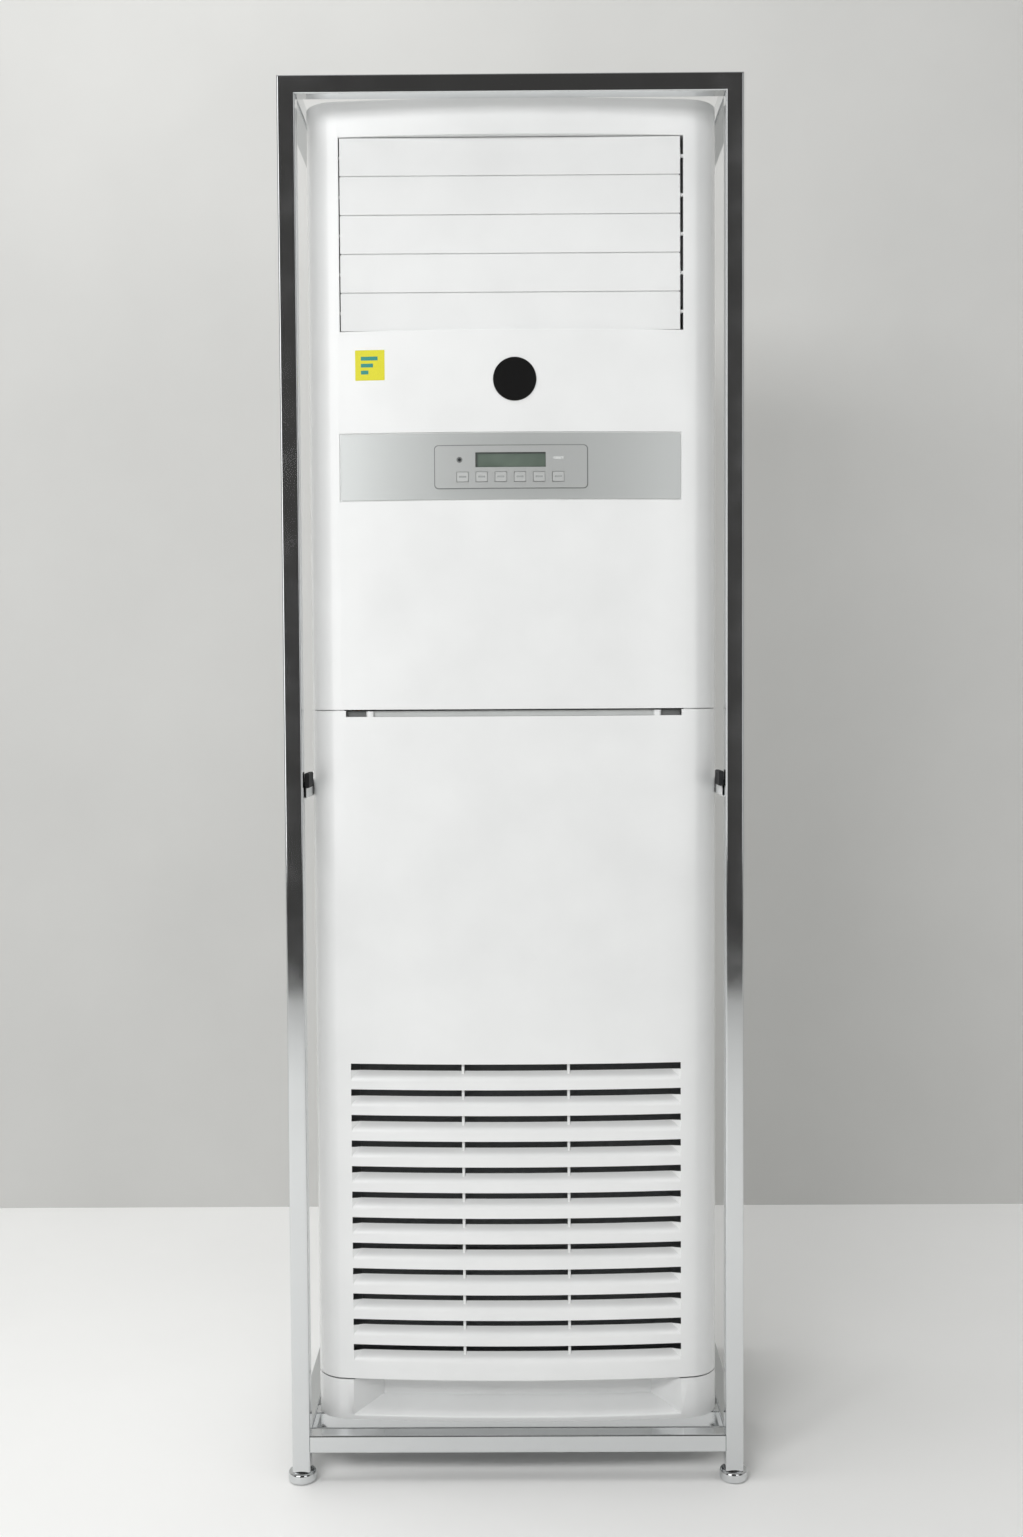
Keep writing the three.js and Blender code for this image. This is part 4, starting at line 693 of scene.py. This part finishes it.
def flap(bm, sill, low):
    """Rolls a sill over into a slat that runs back and up and draws in at its ends."""
    path = [(ROLL_R * (1 - math.cos(t)), ROLL_R * math.sin(t))
            for t in (ROLL_TURN * (i + 1) / ROLL_STEPS for i in range(ROLL_STEPS))]
    path.append((SLAT_DEPTH, ROLL_DROP + SLAT_RISE))
    ends = {-1: [], 1: []}
    edges = sill
    for depth, rise in path:
        made = bmesh.ops.extrude_edge_only(bm, edges=edges)["geom"]
        verts = [g for g in made if isinstance(g, bmesh.types.BMVert)]
        edges = [g for g in made if isinstance(g, bmesh.types.BMEdge) and all(v in verts for v in g.verts)]
        for v in verts:
            v.co.y, v.co.z = FRONT_Y + depth, low + rise
            if abs(v.co.x) > SLOT_END - GUSSET_IN - 0.1:
                v.co.x = math.copysign(min(abs(v.co.x), SLOT_END - GUSSET_IN * depth / SLAT_DEPTH), v.co.x)
        for sign in (-1, 1):
            ends[sign].append(max(verts, key=lambda v: sign * v.co.x))
    for sign in (-1, 1):
        rim_side = [v for v in bm.verts if abs(v.co.x - sign * SLOT_END) < 0.01 and abs(v.co.y - FRONT_Y) < 0.01
                    and low - 0.01 < v.co.z < low + ROLL_DROP + GUSSET_HIGH + 0.01]
        rim_side.sort(key=lambda v: v.co.z)
        chain = rim_side[:1] + ends[sign]
        for pair in zip(chain, chain[1:]):
            bmesh.ops.contextual_create(bm, geom=[rim_side[-1], *pair])


for x0, x1, z0, z1 in slots:
    sill = [e for e in rim(bm, x0, x1, z0, z1) if all(abs(v.co.z - z0) < 0.01 for v in e.verts)]
    flap(bm, sill, z0)
ledge = [e for e in rim(bm, *grip) if all(abs(v.co.z - LEDGE_Z) < 0.01 for v in e.verts)]
back = draw_back(bm, ledge, GRIP_DEPTH)
wall_verts = [g for g in bmesh.ops.extrude_edge_only(bm, edges=back)["geom"]
              if isinstance(g, bmesh.types.BMVert)]
bmesh.ops.translate(bm, vec=(0, 0, 7.6), verts=wall_verts)
face_front(bm)
bend(bm)
moulding = finished("lower_front_moulding", bm, WHITE_ABS, "lower_panel",
                    ["lower_front_panel"], wall=SKIN, sharp=30)
moulding.modifiers["wall"].use_even_offset = False

# %% [markdown]
# Two upright ribs behind the slats stiffen the grille and split it into three bays. In the
# finger slot lies a foam seal whose grey is painted shade of the slot; past the catches, where the slot is deeper,
# it is darker as painted deeper shade.

# %% ribs and seal
bm = bmesh.new()
for sign in (-1, 1):
    x = sorted((sign * RIB_IN, sign * RIB_OUT))
    rib = block(bm, x[0], x[1], FRONT_Y + 7, FRONT_Y + 20, SLOT_LOW - 2, SLOT_LOW + 11 * SLOT_PITCH + SLOT_HIGH + 3)
    rounded(bm, [e for e in long_edges(rib, 2) if e.verts[0].co.y < FRONT_Y + 9], 1, 3)
bend(bm)
finished("grille_ribs", bm, WHITE_ABS, "lower_panel")
# The seal's grey is painted shade of the finger slot; the darker one past the catches is painted deeper shade.
SEAL_PAINTED_SHADE = grained_plastic("foam seal, grey as painted shade", "D6D8D7", "CED0CF", 0.9, 2.5, 0.1)
SEAL_PAINTED_DEEP_SHADE = grained_plastic("foam seal, darker as painted deep shade", "7E807F", "767877", 0.9, 2.5, 0.1)


def sheet_strip(name, x0, x1, y0, y1, z0, z1, material, body):
    """A flat strip that follows the bow."""
    bm = bmesh.new()
    block(bm, x0, x1, FRONT_Y + y0, FRONT_Y + y1, z0, z1)
    split(bm, 0, [x0 + (x1 - x0) * i / 16 for i in range(1, 16)])
    bend(bm)
    return finished(name, bm, material, body, edge=0.2, segments=1)


# Seal strips coloured as painted shade: grey in the middle, darker at the deep ends.
sheet_strip("slot_seal_painted_shade", -LEDGE_END, LEDGE_END, 8, 12, LEDGE_Z + 0.2, LOWER_HIGH - 0.3, SEAL_PAINTED_SHADE, "lower_panel")
for side, x0 in (("left", -GRIP_END + 1), ("right", LEDGE_END)):
    sheet_strip(f"slot_seal_painted_shade_{side}", x0, x0 + GRIP_END - 1 - LEDGE_END, 9, 12, LEDGE_Z + 0.2, LOWER_HIGH - 0.3,
                SEAL_PAINTED_DEEP_SHADE, "lower_panel")

# %% catches, filter runners and hinge ears behind the lower panel
bm = bmesh.new()
for sign in (-1, 1):
    def across(a, b):
        return (a, b) if sign > 0 else (-b, -a)

    catch = block(bm, *across(196, 206), FRONT_Y + 1.6, FRONT_Y + 12, LEDGE_Z - 1, LOWER_HIGH - 0.8)
    rounded(bm, long_edges(catch, 2), 3, 4)
    block(bm, *across(236.3, 238.8), FRONT_Y + 1, FRONT_Y + 30, 146.8, 1032.5)
    block(bm, *across(227.3, 237.3), FRONT_Y + 27.5, FRONT_Y + 30, 146.8, 1032.5)
    block(bm, *across(227.5, 232.5), FRONT_Y + 2, FRONT_Y + 12, 130.6, 141)
bend(bm)
finished("lower_panel_fittings", bm, WHITE_ABS, "lower_panel", edge=0.3, segments=2)

# %% [markdown]
# The plinth: the same bowed sheet, with a toe recess like a scoop. The recess's floor ramps up
# and its ends draw in towards the back, which leaves a shaded wall under a sharp upper edge and
# a thin lip along the bottom.

# %% plinth cover
PLINTH_LOW, PLINTH_HIGH = 68.3, 125.8
RECESS_X, RECESS_LOW, RECESS_TOP = 233.5, 75.5, 125.2
RECESS_BACK, RECESS_IN, RECESS_RISE = 46, 40, 13

bm = front_sheet(PLINTH_LOW, PLINTH_HIGH, [-RECESS_X, RECESS_X], [RECESS_LOW, RECESS_TOP])
hole = (-RECESS_X, RECESS_X, RECESS_LOW, PLINTH_HIGH)
holes(bm, [hole])
edges = rim(bm, *hole)
sill = [e for e in edges if all(abs(v.co.z - RECESS_LOW) < 0.01 for v in e.verts)]
scoop = [e for e in edges if all(v.co.z < RECESS_TOP + 0.01 for v in e.verts)]
made = bmesh.ops.extrude_edge_only(bm, edges=scoop)["geom"]
rear = [g for g in made if isinstance(g, bmesh.types.BMVert)]
for v in rear:
    v.co.y += RECESS_BACK
    v.co.x *= (RECESS_X - RECESS_IN) / RECESS_X
    if v.co.z < RECESS_LOW + 1:
        v.co.z += RECESS_RISE
back_floor = [g for g in made if isinstance(g, bmesh.types.BMEdge)
              and all(v in rear and v.co.z < RECESS_TOP - 1 for v in g.verts)]
up_wall = [g for g in bmesh.ops.extrude_edge_only(bm, edges=back_floor)["geom"]
           if isinstance(g, bmesh.types.BMVert)]
for v in up_wall:
    v.co.z = RECESS_TOP
bmesh.ops.remove_doubles(bm, verts=bm.verts, dist=0.01)
top_edge = [e for e in bm.edges if e.is_boundary
            and all(abs(v.co.z - RECESS_TOP) < 0.01 and v.co.y > FRONT_Y + 40 for v in e.verts)]
roof = [g for g in bmesh.ops.extrude_edge_only(bm, edges=top_edge)["geom"] if isinstance(g, bmesh.types.BMVert)]
for v in roof:
    v.co.x *= (RECESS_X - 16) / (RECESS_X - RECESS_IN)
    v.co.y = FRONT_Y + 5
bmesh.ops.remove_doubles(bm, verts=bm.verts, dist=0.01)
rounded(bm, [e for e in sill if e.is_valid], 2.2, 4)
face_front(bm)
bend(bm)
finished("plinth_moulding", bm, WHITE_ABS, "casing", ["plinth_cover"], wall=SKIN)
print("front mouldings made")

# %% [markdown]
# A louvre is a moulded blade: flat in front, thicker in its middle, with softly rounded edges,
# end cheeks and pins. The upper edge of every blade but the first carries a thin lap that lies
# behind the blade above, so that the closed outlet shows pale lines and not dark gaps.

# %% louvres
BLADE_Y = FRONT_Y + BOW_RISE + 1
BLADE_HALF = 265.2 / 10 - 0.8
BLADE_X0, BLADE_X1 = -236.5, 233.5
PIVOT_Y = -180


def pin(bm, axis, centre, radius, start, end, sides=20):
    """A round pin along X (0), Y (1) or Z (2) between start and end."""
    made = bmesh.ops.create_cone(bm, cap_ends=True, segments=sides, radius1=radius, radius2=radius,
                                 depth=end - start)["verts"]
    if axis == 0:
        bmesh.ops.rotate(bm, cent=(0, 0, 0), matrix=Matrix.Rotation(math.pi / 2, 3, "Y"), verts=made)
    if axis == 1:
        bmesh.ops.rotate(bm, cent=(0, 0, 0), matrix=Matrix.Rotation(math.pi / 2, 3, "X"), verts=made)
    at = list(centre)
    at.insert(axis, (start + end) / 2)
    bmesh.ops.translate(bm, vec=at, verts=made)
    return made


def louvre_piece(k):
    low, high = low_high(f"louvre_{k}")
    z = 1842.18 - (k - 1) * 53.04
    bm = bmesh.new()
    blade = block(bm, BLADE_X0, BLADE_X1, BLADE_Y, BLADE_Y + 1.6, z - BLADE_HALF, z + BLADE_HALF)
    rounded(bm, long_edges(blade, 0), 0.6, 3)
    spine = block(bm, BLADE_X0 + 2, BLADE_X1 - 2, BLADE_Y + 1.4, BLADE_Y + 4, z - 16, z + 16)
    rear = [e for e in long_edges(spine, 0) if e.verts[0].co.y > BLADE_Y + 3]
    rounded(bm, rear, 2.2, 4)
    for x in (BLADE_X0, BLADE_X1 - 3):
        cheek = block(bm, x, x + 3, BLADE_Y + 1.4, PIVOT_Y + 3.5, z - 3.5, z + 3.5)
        rounded(bm, long_edges(cheek, 0), 1, 3)
    pin(bm, 0, (PIVOT_Y, z), 2.5, low.x, BLADE_X0 + 1)
    pin(bm, 0, (PIVOT_Y, z), 2.5, BLADE_X1 - 1, high.x)
    crank_y, crank_z = PIVOT_Y + 18 * math.cos(math.radians(42.5)), z + 18 * math.sin(math.radians(42.5))
    arm = block(bm, BLADE_X1 - 0.2, BLADE_X1 + 1.2, -3.5, 3.5, -3.5, 21.5)
    rounded(bm, long_edges(arm, 0), 3.4, 5)
    arm_verts = [v for v in bm.verts if v.co.z < 30]
    bmesh.ops.rotate(bm, cent=(0, 0, 0), matrix=Matrix.Rotation(math.radians(-47.5), 3, "X"), verts=arm_verts)
    bmesh.ops.translate(bm, vec=(0, PIVOT_Y, z), verts=arm_verts)
    pin(bm, 0, (crank_y, crank_z), 1.5, BLADE_X1 + 1, BLADE_X1 + 3.6)
    if k > 1:
        block(bm, BLADE_X0 + 1, BLADE_X1 - 1, BLADE_Y + 1.5, BLADE_Y + 3.2, z + 15, z + BLADE_HALF - 0.4)
        block(bm, BLADE_X0 + 1, BLADE_X1 - 1, BLADE_Y + 2, BLADE_Y + 3.2, z + BLADE_HALF - 0.6, z + BLADE_HALF + 2.6)
    finished(f"louvre_{k}_blade", bm, WHITE_ABS, f"louvre_{k}", [f"louvre_{k}"], sharp=40)


for k in range(1, 6):
    louvre_piece(k)

# %% [markdown]
# The silver strip, the raised plate and the display are again drawn flat and then bent. The strip
# lies in a recess a little larger than itself, on a ledge that shows as a thin shaded line all
# round. The plate has rounded corners and a softened rim, and stands on a thin grey seat that
# draws a line round it as painted shadow. A dark gasket frames the glass, widest at the left and
# top, as painted inner shadow of the display's recess.

# %% flat plates that follow the bow
def bowed_plate(name, x0, x1, z0, z1, face, thickness, radius, material, body, slot, node_name=None,
                edge=0.4, windows=()):
    """A plate whose front lies `face` mm behind the front's surface, with windows cut through."""
    bm = bmesh.new()
    sheet = block(bm, x0, x1, FRONT_Y + face, FRONT_Y + face + thickness, z0, z1)
    bmesh.ops.delete(bm, geom=[f for f in bm.faces if abs(f.normal.y) < 0.5 or f.normal.y > 0.5],
                     context="FACES")
    places = sorted({x0 + (x1 - x0) * i / 24 for i in range(1, 24)} | {x for w in windows for x in w[:2]})
    split(bm, 0, [x for x in places if x0 < x < x1])
    split(bm, 2, sorted({z for w in windows for z in w[2:]}))
    gone = []
    for f in bm.faces:
        c = f.calc_center_median()
        if any(a < c.x < b and p < c.z < q for a, b, p, q in windows):
            gone.append(f)
    bmesh.ops.delete(bm, geom=gone, context="FACES")
    if radius:
        corners = [v for v in bm.verts if min(abs(v.co.x - x0), abs(v.co.x - x1)) < 1e-3
                   and min(abs(v.co.z - z0), abs(v.co.z - z1)) < 1e-3]
        bmesh.ops.bevel(bm, geom=corners, offset=radius, offset_type="OFFSET", segments=5,
                        profile=0.5, affect="VERTICES", material=-1)
    face_front(bm)
    bend(bm)
    return finished(name, bm, material, body, [node_name] if node_name else (), wall=thickness,
                    edge=edge)


MODULE = (-102, 99, 1391, 1440)
LCD = (-50.9, 46.4, 1414.6, 1435.0)
LEDGE_GAP = 1.5
bowed_plate("silver_strip", BAND[0] + LEDGE_GAP, BAND[1] - LEDGE_GAP, BAND[2] + LEDGE_GAP, BAND[3] - LEDGE_GAP,
            0.1, 1.4, 2.5, SILVER, "casing", "silver_plastic", "control_fascia", 0.3, [MODULE])
bowed_plate("strip_ledge", *BAND, 1.7, 0.8, 0, WHITE_ABS, "casing", "white_plastic", None, 0, [MODULE])
BUTTON_X = [-68.8 + 26.48 * k for k in range(6)]
BUTTON_GAPS = [(x - 8.3, x + 8.3, 1401.3 - 7, 1401.3 + 7) for x in BUTTON_X]
bowed_plate("raised_plate", -107, 103.6, 1386.2, 1444.2, -1.8, 1.95, 5, SILVER_PLATE, "casing",
            "silver_plastic", "control_plate", 1.3, [LCD] + BUTTON_GAPS)
# A thin grey seat round the plate, drawn as the painted shadow line of its edge.
bowed_plate("plate_seat_painted_shadow", -108.3, 104.9, 1384.9, 1445.5, -0.1, 0.3, 6, PLATE_SEAT_PAINTED_SHADOW, "casing", "silver_plastic",
            None, 0, [MODULE])
bowed_plate("plate_backing", -110, 110, 1384, 1449, 1.9, 1, 0, SILVER_PLATE, "casing", "silver_plastic")

# %% display, receiver and buttons
bowed_plate("display_window", *LCD, 0.9, 0.8, 0, DISPLAY, "casing", "lcd_window", "lcd_window", 0.1)
# The gasket shows widest at the left and top, as the recessed display's painted inner shadow.
GLASS = (LCD[0] + 2.8, LCD[1] - 0.5, LCD[2] + 0.5, LCD[3] - 2.0)
bowed_plate("display_gasket_painted_shadow", *LCD, 0.2, 0.6, 0, GASKET_PAINTED_SHADOW, "casing", "dark_plastic", None, 0, [GLASS])
for k, x in enumerate(BUTTON_X, 1):
    bowed_plate(f"button_{k}_cap", x - 7.8, x + 7.8, 1394.8, 1407.8, -2.5, 3.2, 2.5, BUTTON_GREY,
                f"button_{k}", "grey_plastic", f"button_{k}", 0.5)
    bowed_plate(f"button_{k}_bar", x - 5, x + 5, 1400.2, 1402.8, -2.6, 0.15, 0, PRINT_GREY,
                f"button_{k}", "grey_plastic", None, 0)
bowed_plate("display_mark", 57, 72, 1425.2, 1429, -1.8, 0.15, 0.6, PRINT_WHITE, "casing",
            "silver_plastic", None, 0)
for name, radius, front, material in (("receiver_ring", 4.2, -198.9, LENS_RING), ("receiver_dome", 2.3, -199.3, SMOKED)):
    bm = bmesh.new()
    pin(bm, 1, (-73, 1424.9), radius, front, -196.3, 40)
    finished(name, bm, material, "casing", ["receiver_lens"] if material is SMOKED else (), edge=0.4)

# %% [markdown]
# Two round or square badges sit on the front. Their places are kept and their faces are plain:
# a black lacquered disc with a slightly domed edge, and a yellow vinyl square with three bars.

# %% badge and sticker
bm = bmesh.new()
disc = pin(bm, 1, (4, 1535.6), 30, FRONT_Y - 1.1, FRONT_Y + 0.3, 64)
finished("round_badge", bm, BLACK_VINYL, "casing", edge=0.5)
bowed_plate("square_sticker", -217, -176, 1536, 1577.6, -0.25, 0.25, 0.8, YELLOW_VINYL, "casing",
            "white_plastic", None, 0)
for i, share in enumerate((0.9, 0.65, 0.4)):
    z = 1566 - 9.5 * i
    bowed_plate(f"sticker_bar_{i + 1}", -209, -209 + 26 * share, z - 2.6, z + 2.6, -0.35, 0.1, 0.5,
                TEAL_VINYL, "casing", "white_plastic", None, 0)
print("front dressed")

# %% [markdown]
# The sheet-steel sides and back are held by pan-head screws: a low cap with a rounded edge and a
# cross recess, drawn as a thin black cross set into the cap's top: painted shade.

# %% screws
SCREW_Z = [160 + 338 * i for i in range(6)]


def screws(name, axis, places, face, sign):
    """Pan heads on a face across `axis`; sign says which way they stand out."""
    heads, painted_shade_crosses = bmesh.new(), bmesh.new()
    for place in places:
        span = sorted((face - sign * 0.4, face + sign * 1.3))
        pin(heads, axis, place, 3.6, span[0], span[1], 28)
        # The cross is a thin black inlay on the head, painted shade standing in for the recess.
        deep = sorted((face + sign * 1.0, face + sign * 1.36))
        for a, b in ((1.9, 0.45), (0.45, 1.9)):
            low = [place[0] - a, place[1] - b]
            high = [place[0] + a, place[1] + b]
            low.insert(axis, deep[0])
            high.insert(axis, deep[1])
            block(painted_shade_crosses, low[0], high[0], low[1], high[1], low[2], high[2])
    finished(name, heads, ZINC, "casing", edge=0.6)
    finished(name + "_recess_painted_shade", painted_shade_crosses, RECESS_PAINTED_SHADE_BLACK, "casing", edge=0.1, segments=1)


screws("rear_screws", 1, [(x, z) for x in (-272, 0, 272) for z in SCREW_Z], 197, 1)
screws("side_screws_left", 0, [(y, z) for y in (-112, 182) for z in SCREW_Z], -HALF, -1)
screws("side_screws_right", 0, [(y, z) for y in (-112, 182) for z in SCREW_Z], HALF, 1)
print("screws:", 3 * len(SCREW_Z), "behind and", 2 * len(SCREW_Z), "on each side")

# %% [markdown]
# The stage: a pale floor, a plain pale wall close behind, soft light from the upper left and a
# weaker one from the right. Polished tube shows whatever stands in front of it, and in a studio
# that is a bright floor that ends some way off and a darker room beyond. A card that only
# mirror-like rays can see plays that room.

# %% floor and wall
def stage_material(name, shade, pale, one_sided=False):
    """A matt pale paint; one_sided lets a camera behind the sheet look through it."""
    material, tree = blank(name)
    cloud = grain(tree, 500, detail=4)
    colour = tinted(tree, cloud, shade, pale)
    shader = node(tree, "BsdfPrincipled", Base_Color=(colour, "Result"), Roughness=0.55)
    shader.inputs["Specular IOR Level"].default_value = 0.3
    if one_sided:
        side = node(tree, "NewGeometry")
        shader = node(tree, "MixShader", _0=(side, "Backfacing"), _1=(shader, 0),
                      _2=(node(tree, "BsdfTransparent"), 0))
    surface(tree, shader)
    return material


def flat(name, corners, material):
    bm = bmesh.new()
    bm.faces.new([bm.verts.new(Vector(c) * MM) for c in corners])
    mesh = bpy.data.meshes.new(name)
    bm.to_mesh(mesh)
    bm.free()
    sheet = bpy.data.objects.new(name, mesh)
    bpy.context.scene.collection.objects.link(sheet)
    mesh.materials.append(material)
    return sheet


WALL_Y = 1010
FLOOR_NEAR = -4040
floor = flat("floor", [(-9000, FLOOR_NEAR, 0), (9000, FLOOR_NEAR, 0), (9000, 5000, 0), (-9000, 5000, 0)],
             stage_material("pale floor", "F0F0EF", "F3F3F2"))
wall = flat("wall", [(-9000, WALL_Y, 0), (9000, WALL_Y, 0), (9000, WALL_Y, 6000), (-9000, WALL_Y, 6000)],
            stage_material("pale wall", "CCCCCA", "D2D2D0", one_sided=True))

# %% the dark room that the mirror-like steel shows
def glow(name, hex_colour, strength=1.0):
    material, tree = blank(name)
    surface(tree, node(tree, "Emission", Color=linear(hex_colour), Strength=strength))
    return material


def card(name, x0, x1, y, z0, z1, material):
    """An upright card that only mirror-like rays can see."""
    made = flat(name, [(x0, y, z0), (x0, y, z1), (x1, y, z1), (x1, y, z0)], material)
    for ray in ("visible_camera", "visible_diffuse", "visible_shadow", "visible_transmission"):
        setattr(made, ray, False)
    return made


card("dark_room", -9000, 9000, FLOOR_NEAR, 0, 7000, glow("dark room", "434241"))
card("bright_left", -3400, -1060, FLOOR_NEAR + 700, 500, 3600, glow("bright left", "FFFFFF", 2.4))
card("bright_right", 950, 2600, FLOOR_NEAR + 700, 500, 3600, glow("bright right", "FFFFFF", 1.3))

# %% lights
def area_light(name, at, target, size, power, spread_deg=180):
    lamp = bpy.data.lights.new(name, "AREA")
    lamp.shape = "RECTANGLE"
    lamp.size, lamp.size_y = size[0] * MM, size[1] * MM
    lamp.energy = power
    lamp.spread = math.radians(spread_deg)
    holder = bpy.data.objects.new(name, lamp)
    bpy.context.scene.collection.objects.link(holder)
    holder.location = Vector(at) * MM
    aim = Vector(target) * MM - holder.location
    holder.rotation_mode = "QUATERNION"
    holder.rotation_quaternion = aim.to_track_quat("-Z", "Y")
    return holder


key = area_light("key", (-1350, -3300, 2600), (0, 0, 1000), (1700, 1000), 58)
key.visible_glossy = False
fill = area_light("fill", (2600, -2300, 2300), (0, 0, 900), (1800, 1800), 9)
top = area_light("top", (-1100, -300, 4300), (-700, -300, 0), (2600, 2600), 74)
for lamp in (fill, top):
    lamp.visible_glossy = False
world = bpy.data.worlds.new("studio")
bpy.context.scene.world = world
world.use_nodes = True
world.node_tree.nodes["Background"].inputs["Color"].default_value = linear("F4F4F2")
world.node_tree.nodes["Background"].inputs["Strength"].default_value = 0.46
bpy.context.scene.view_settings.view_transform = "Standard"
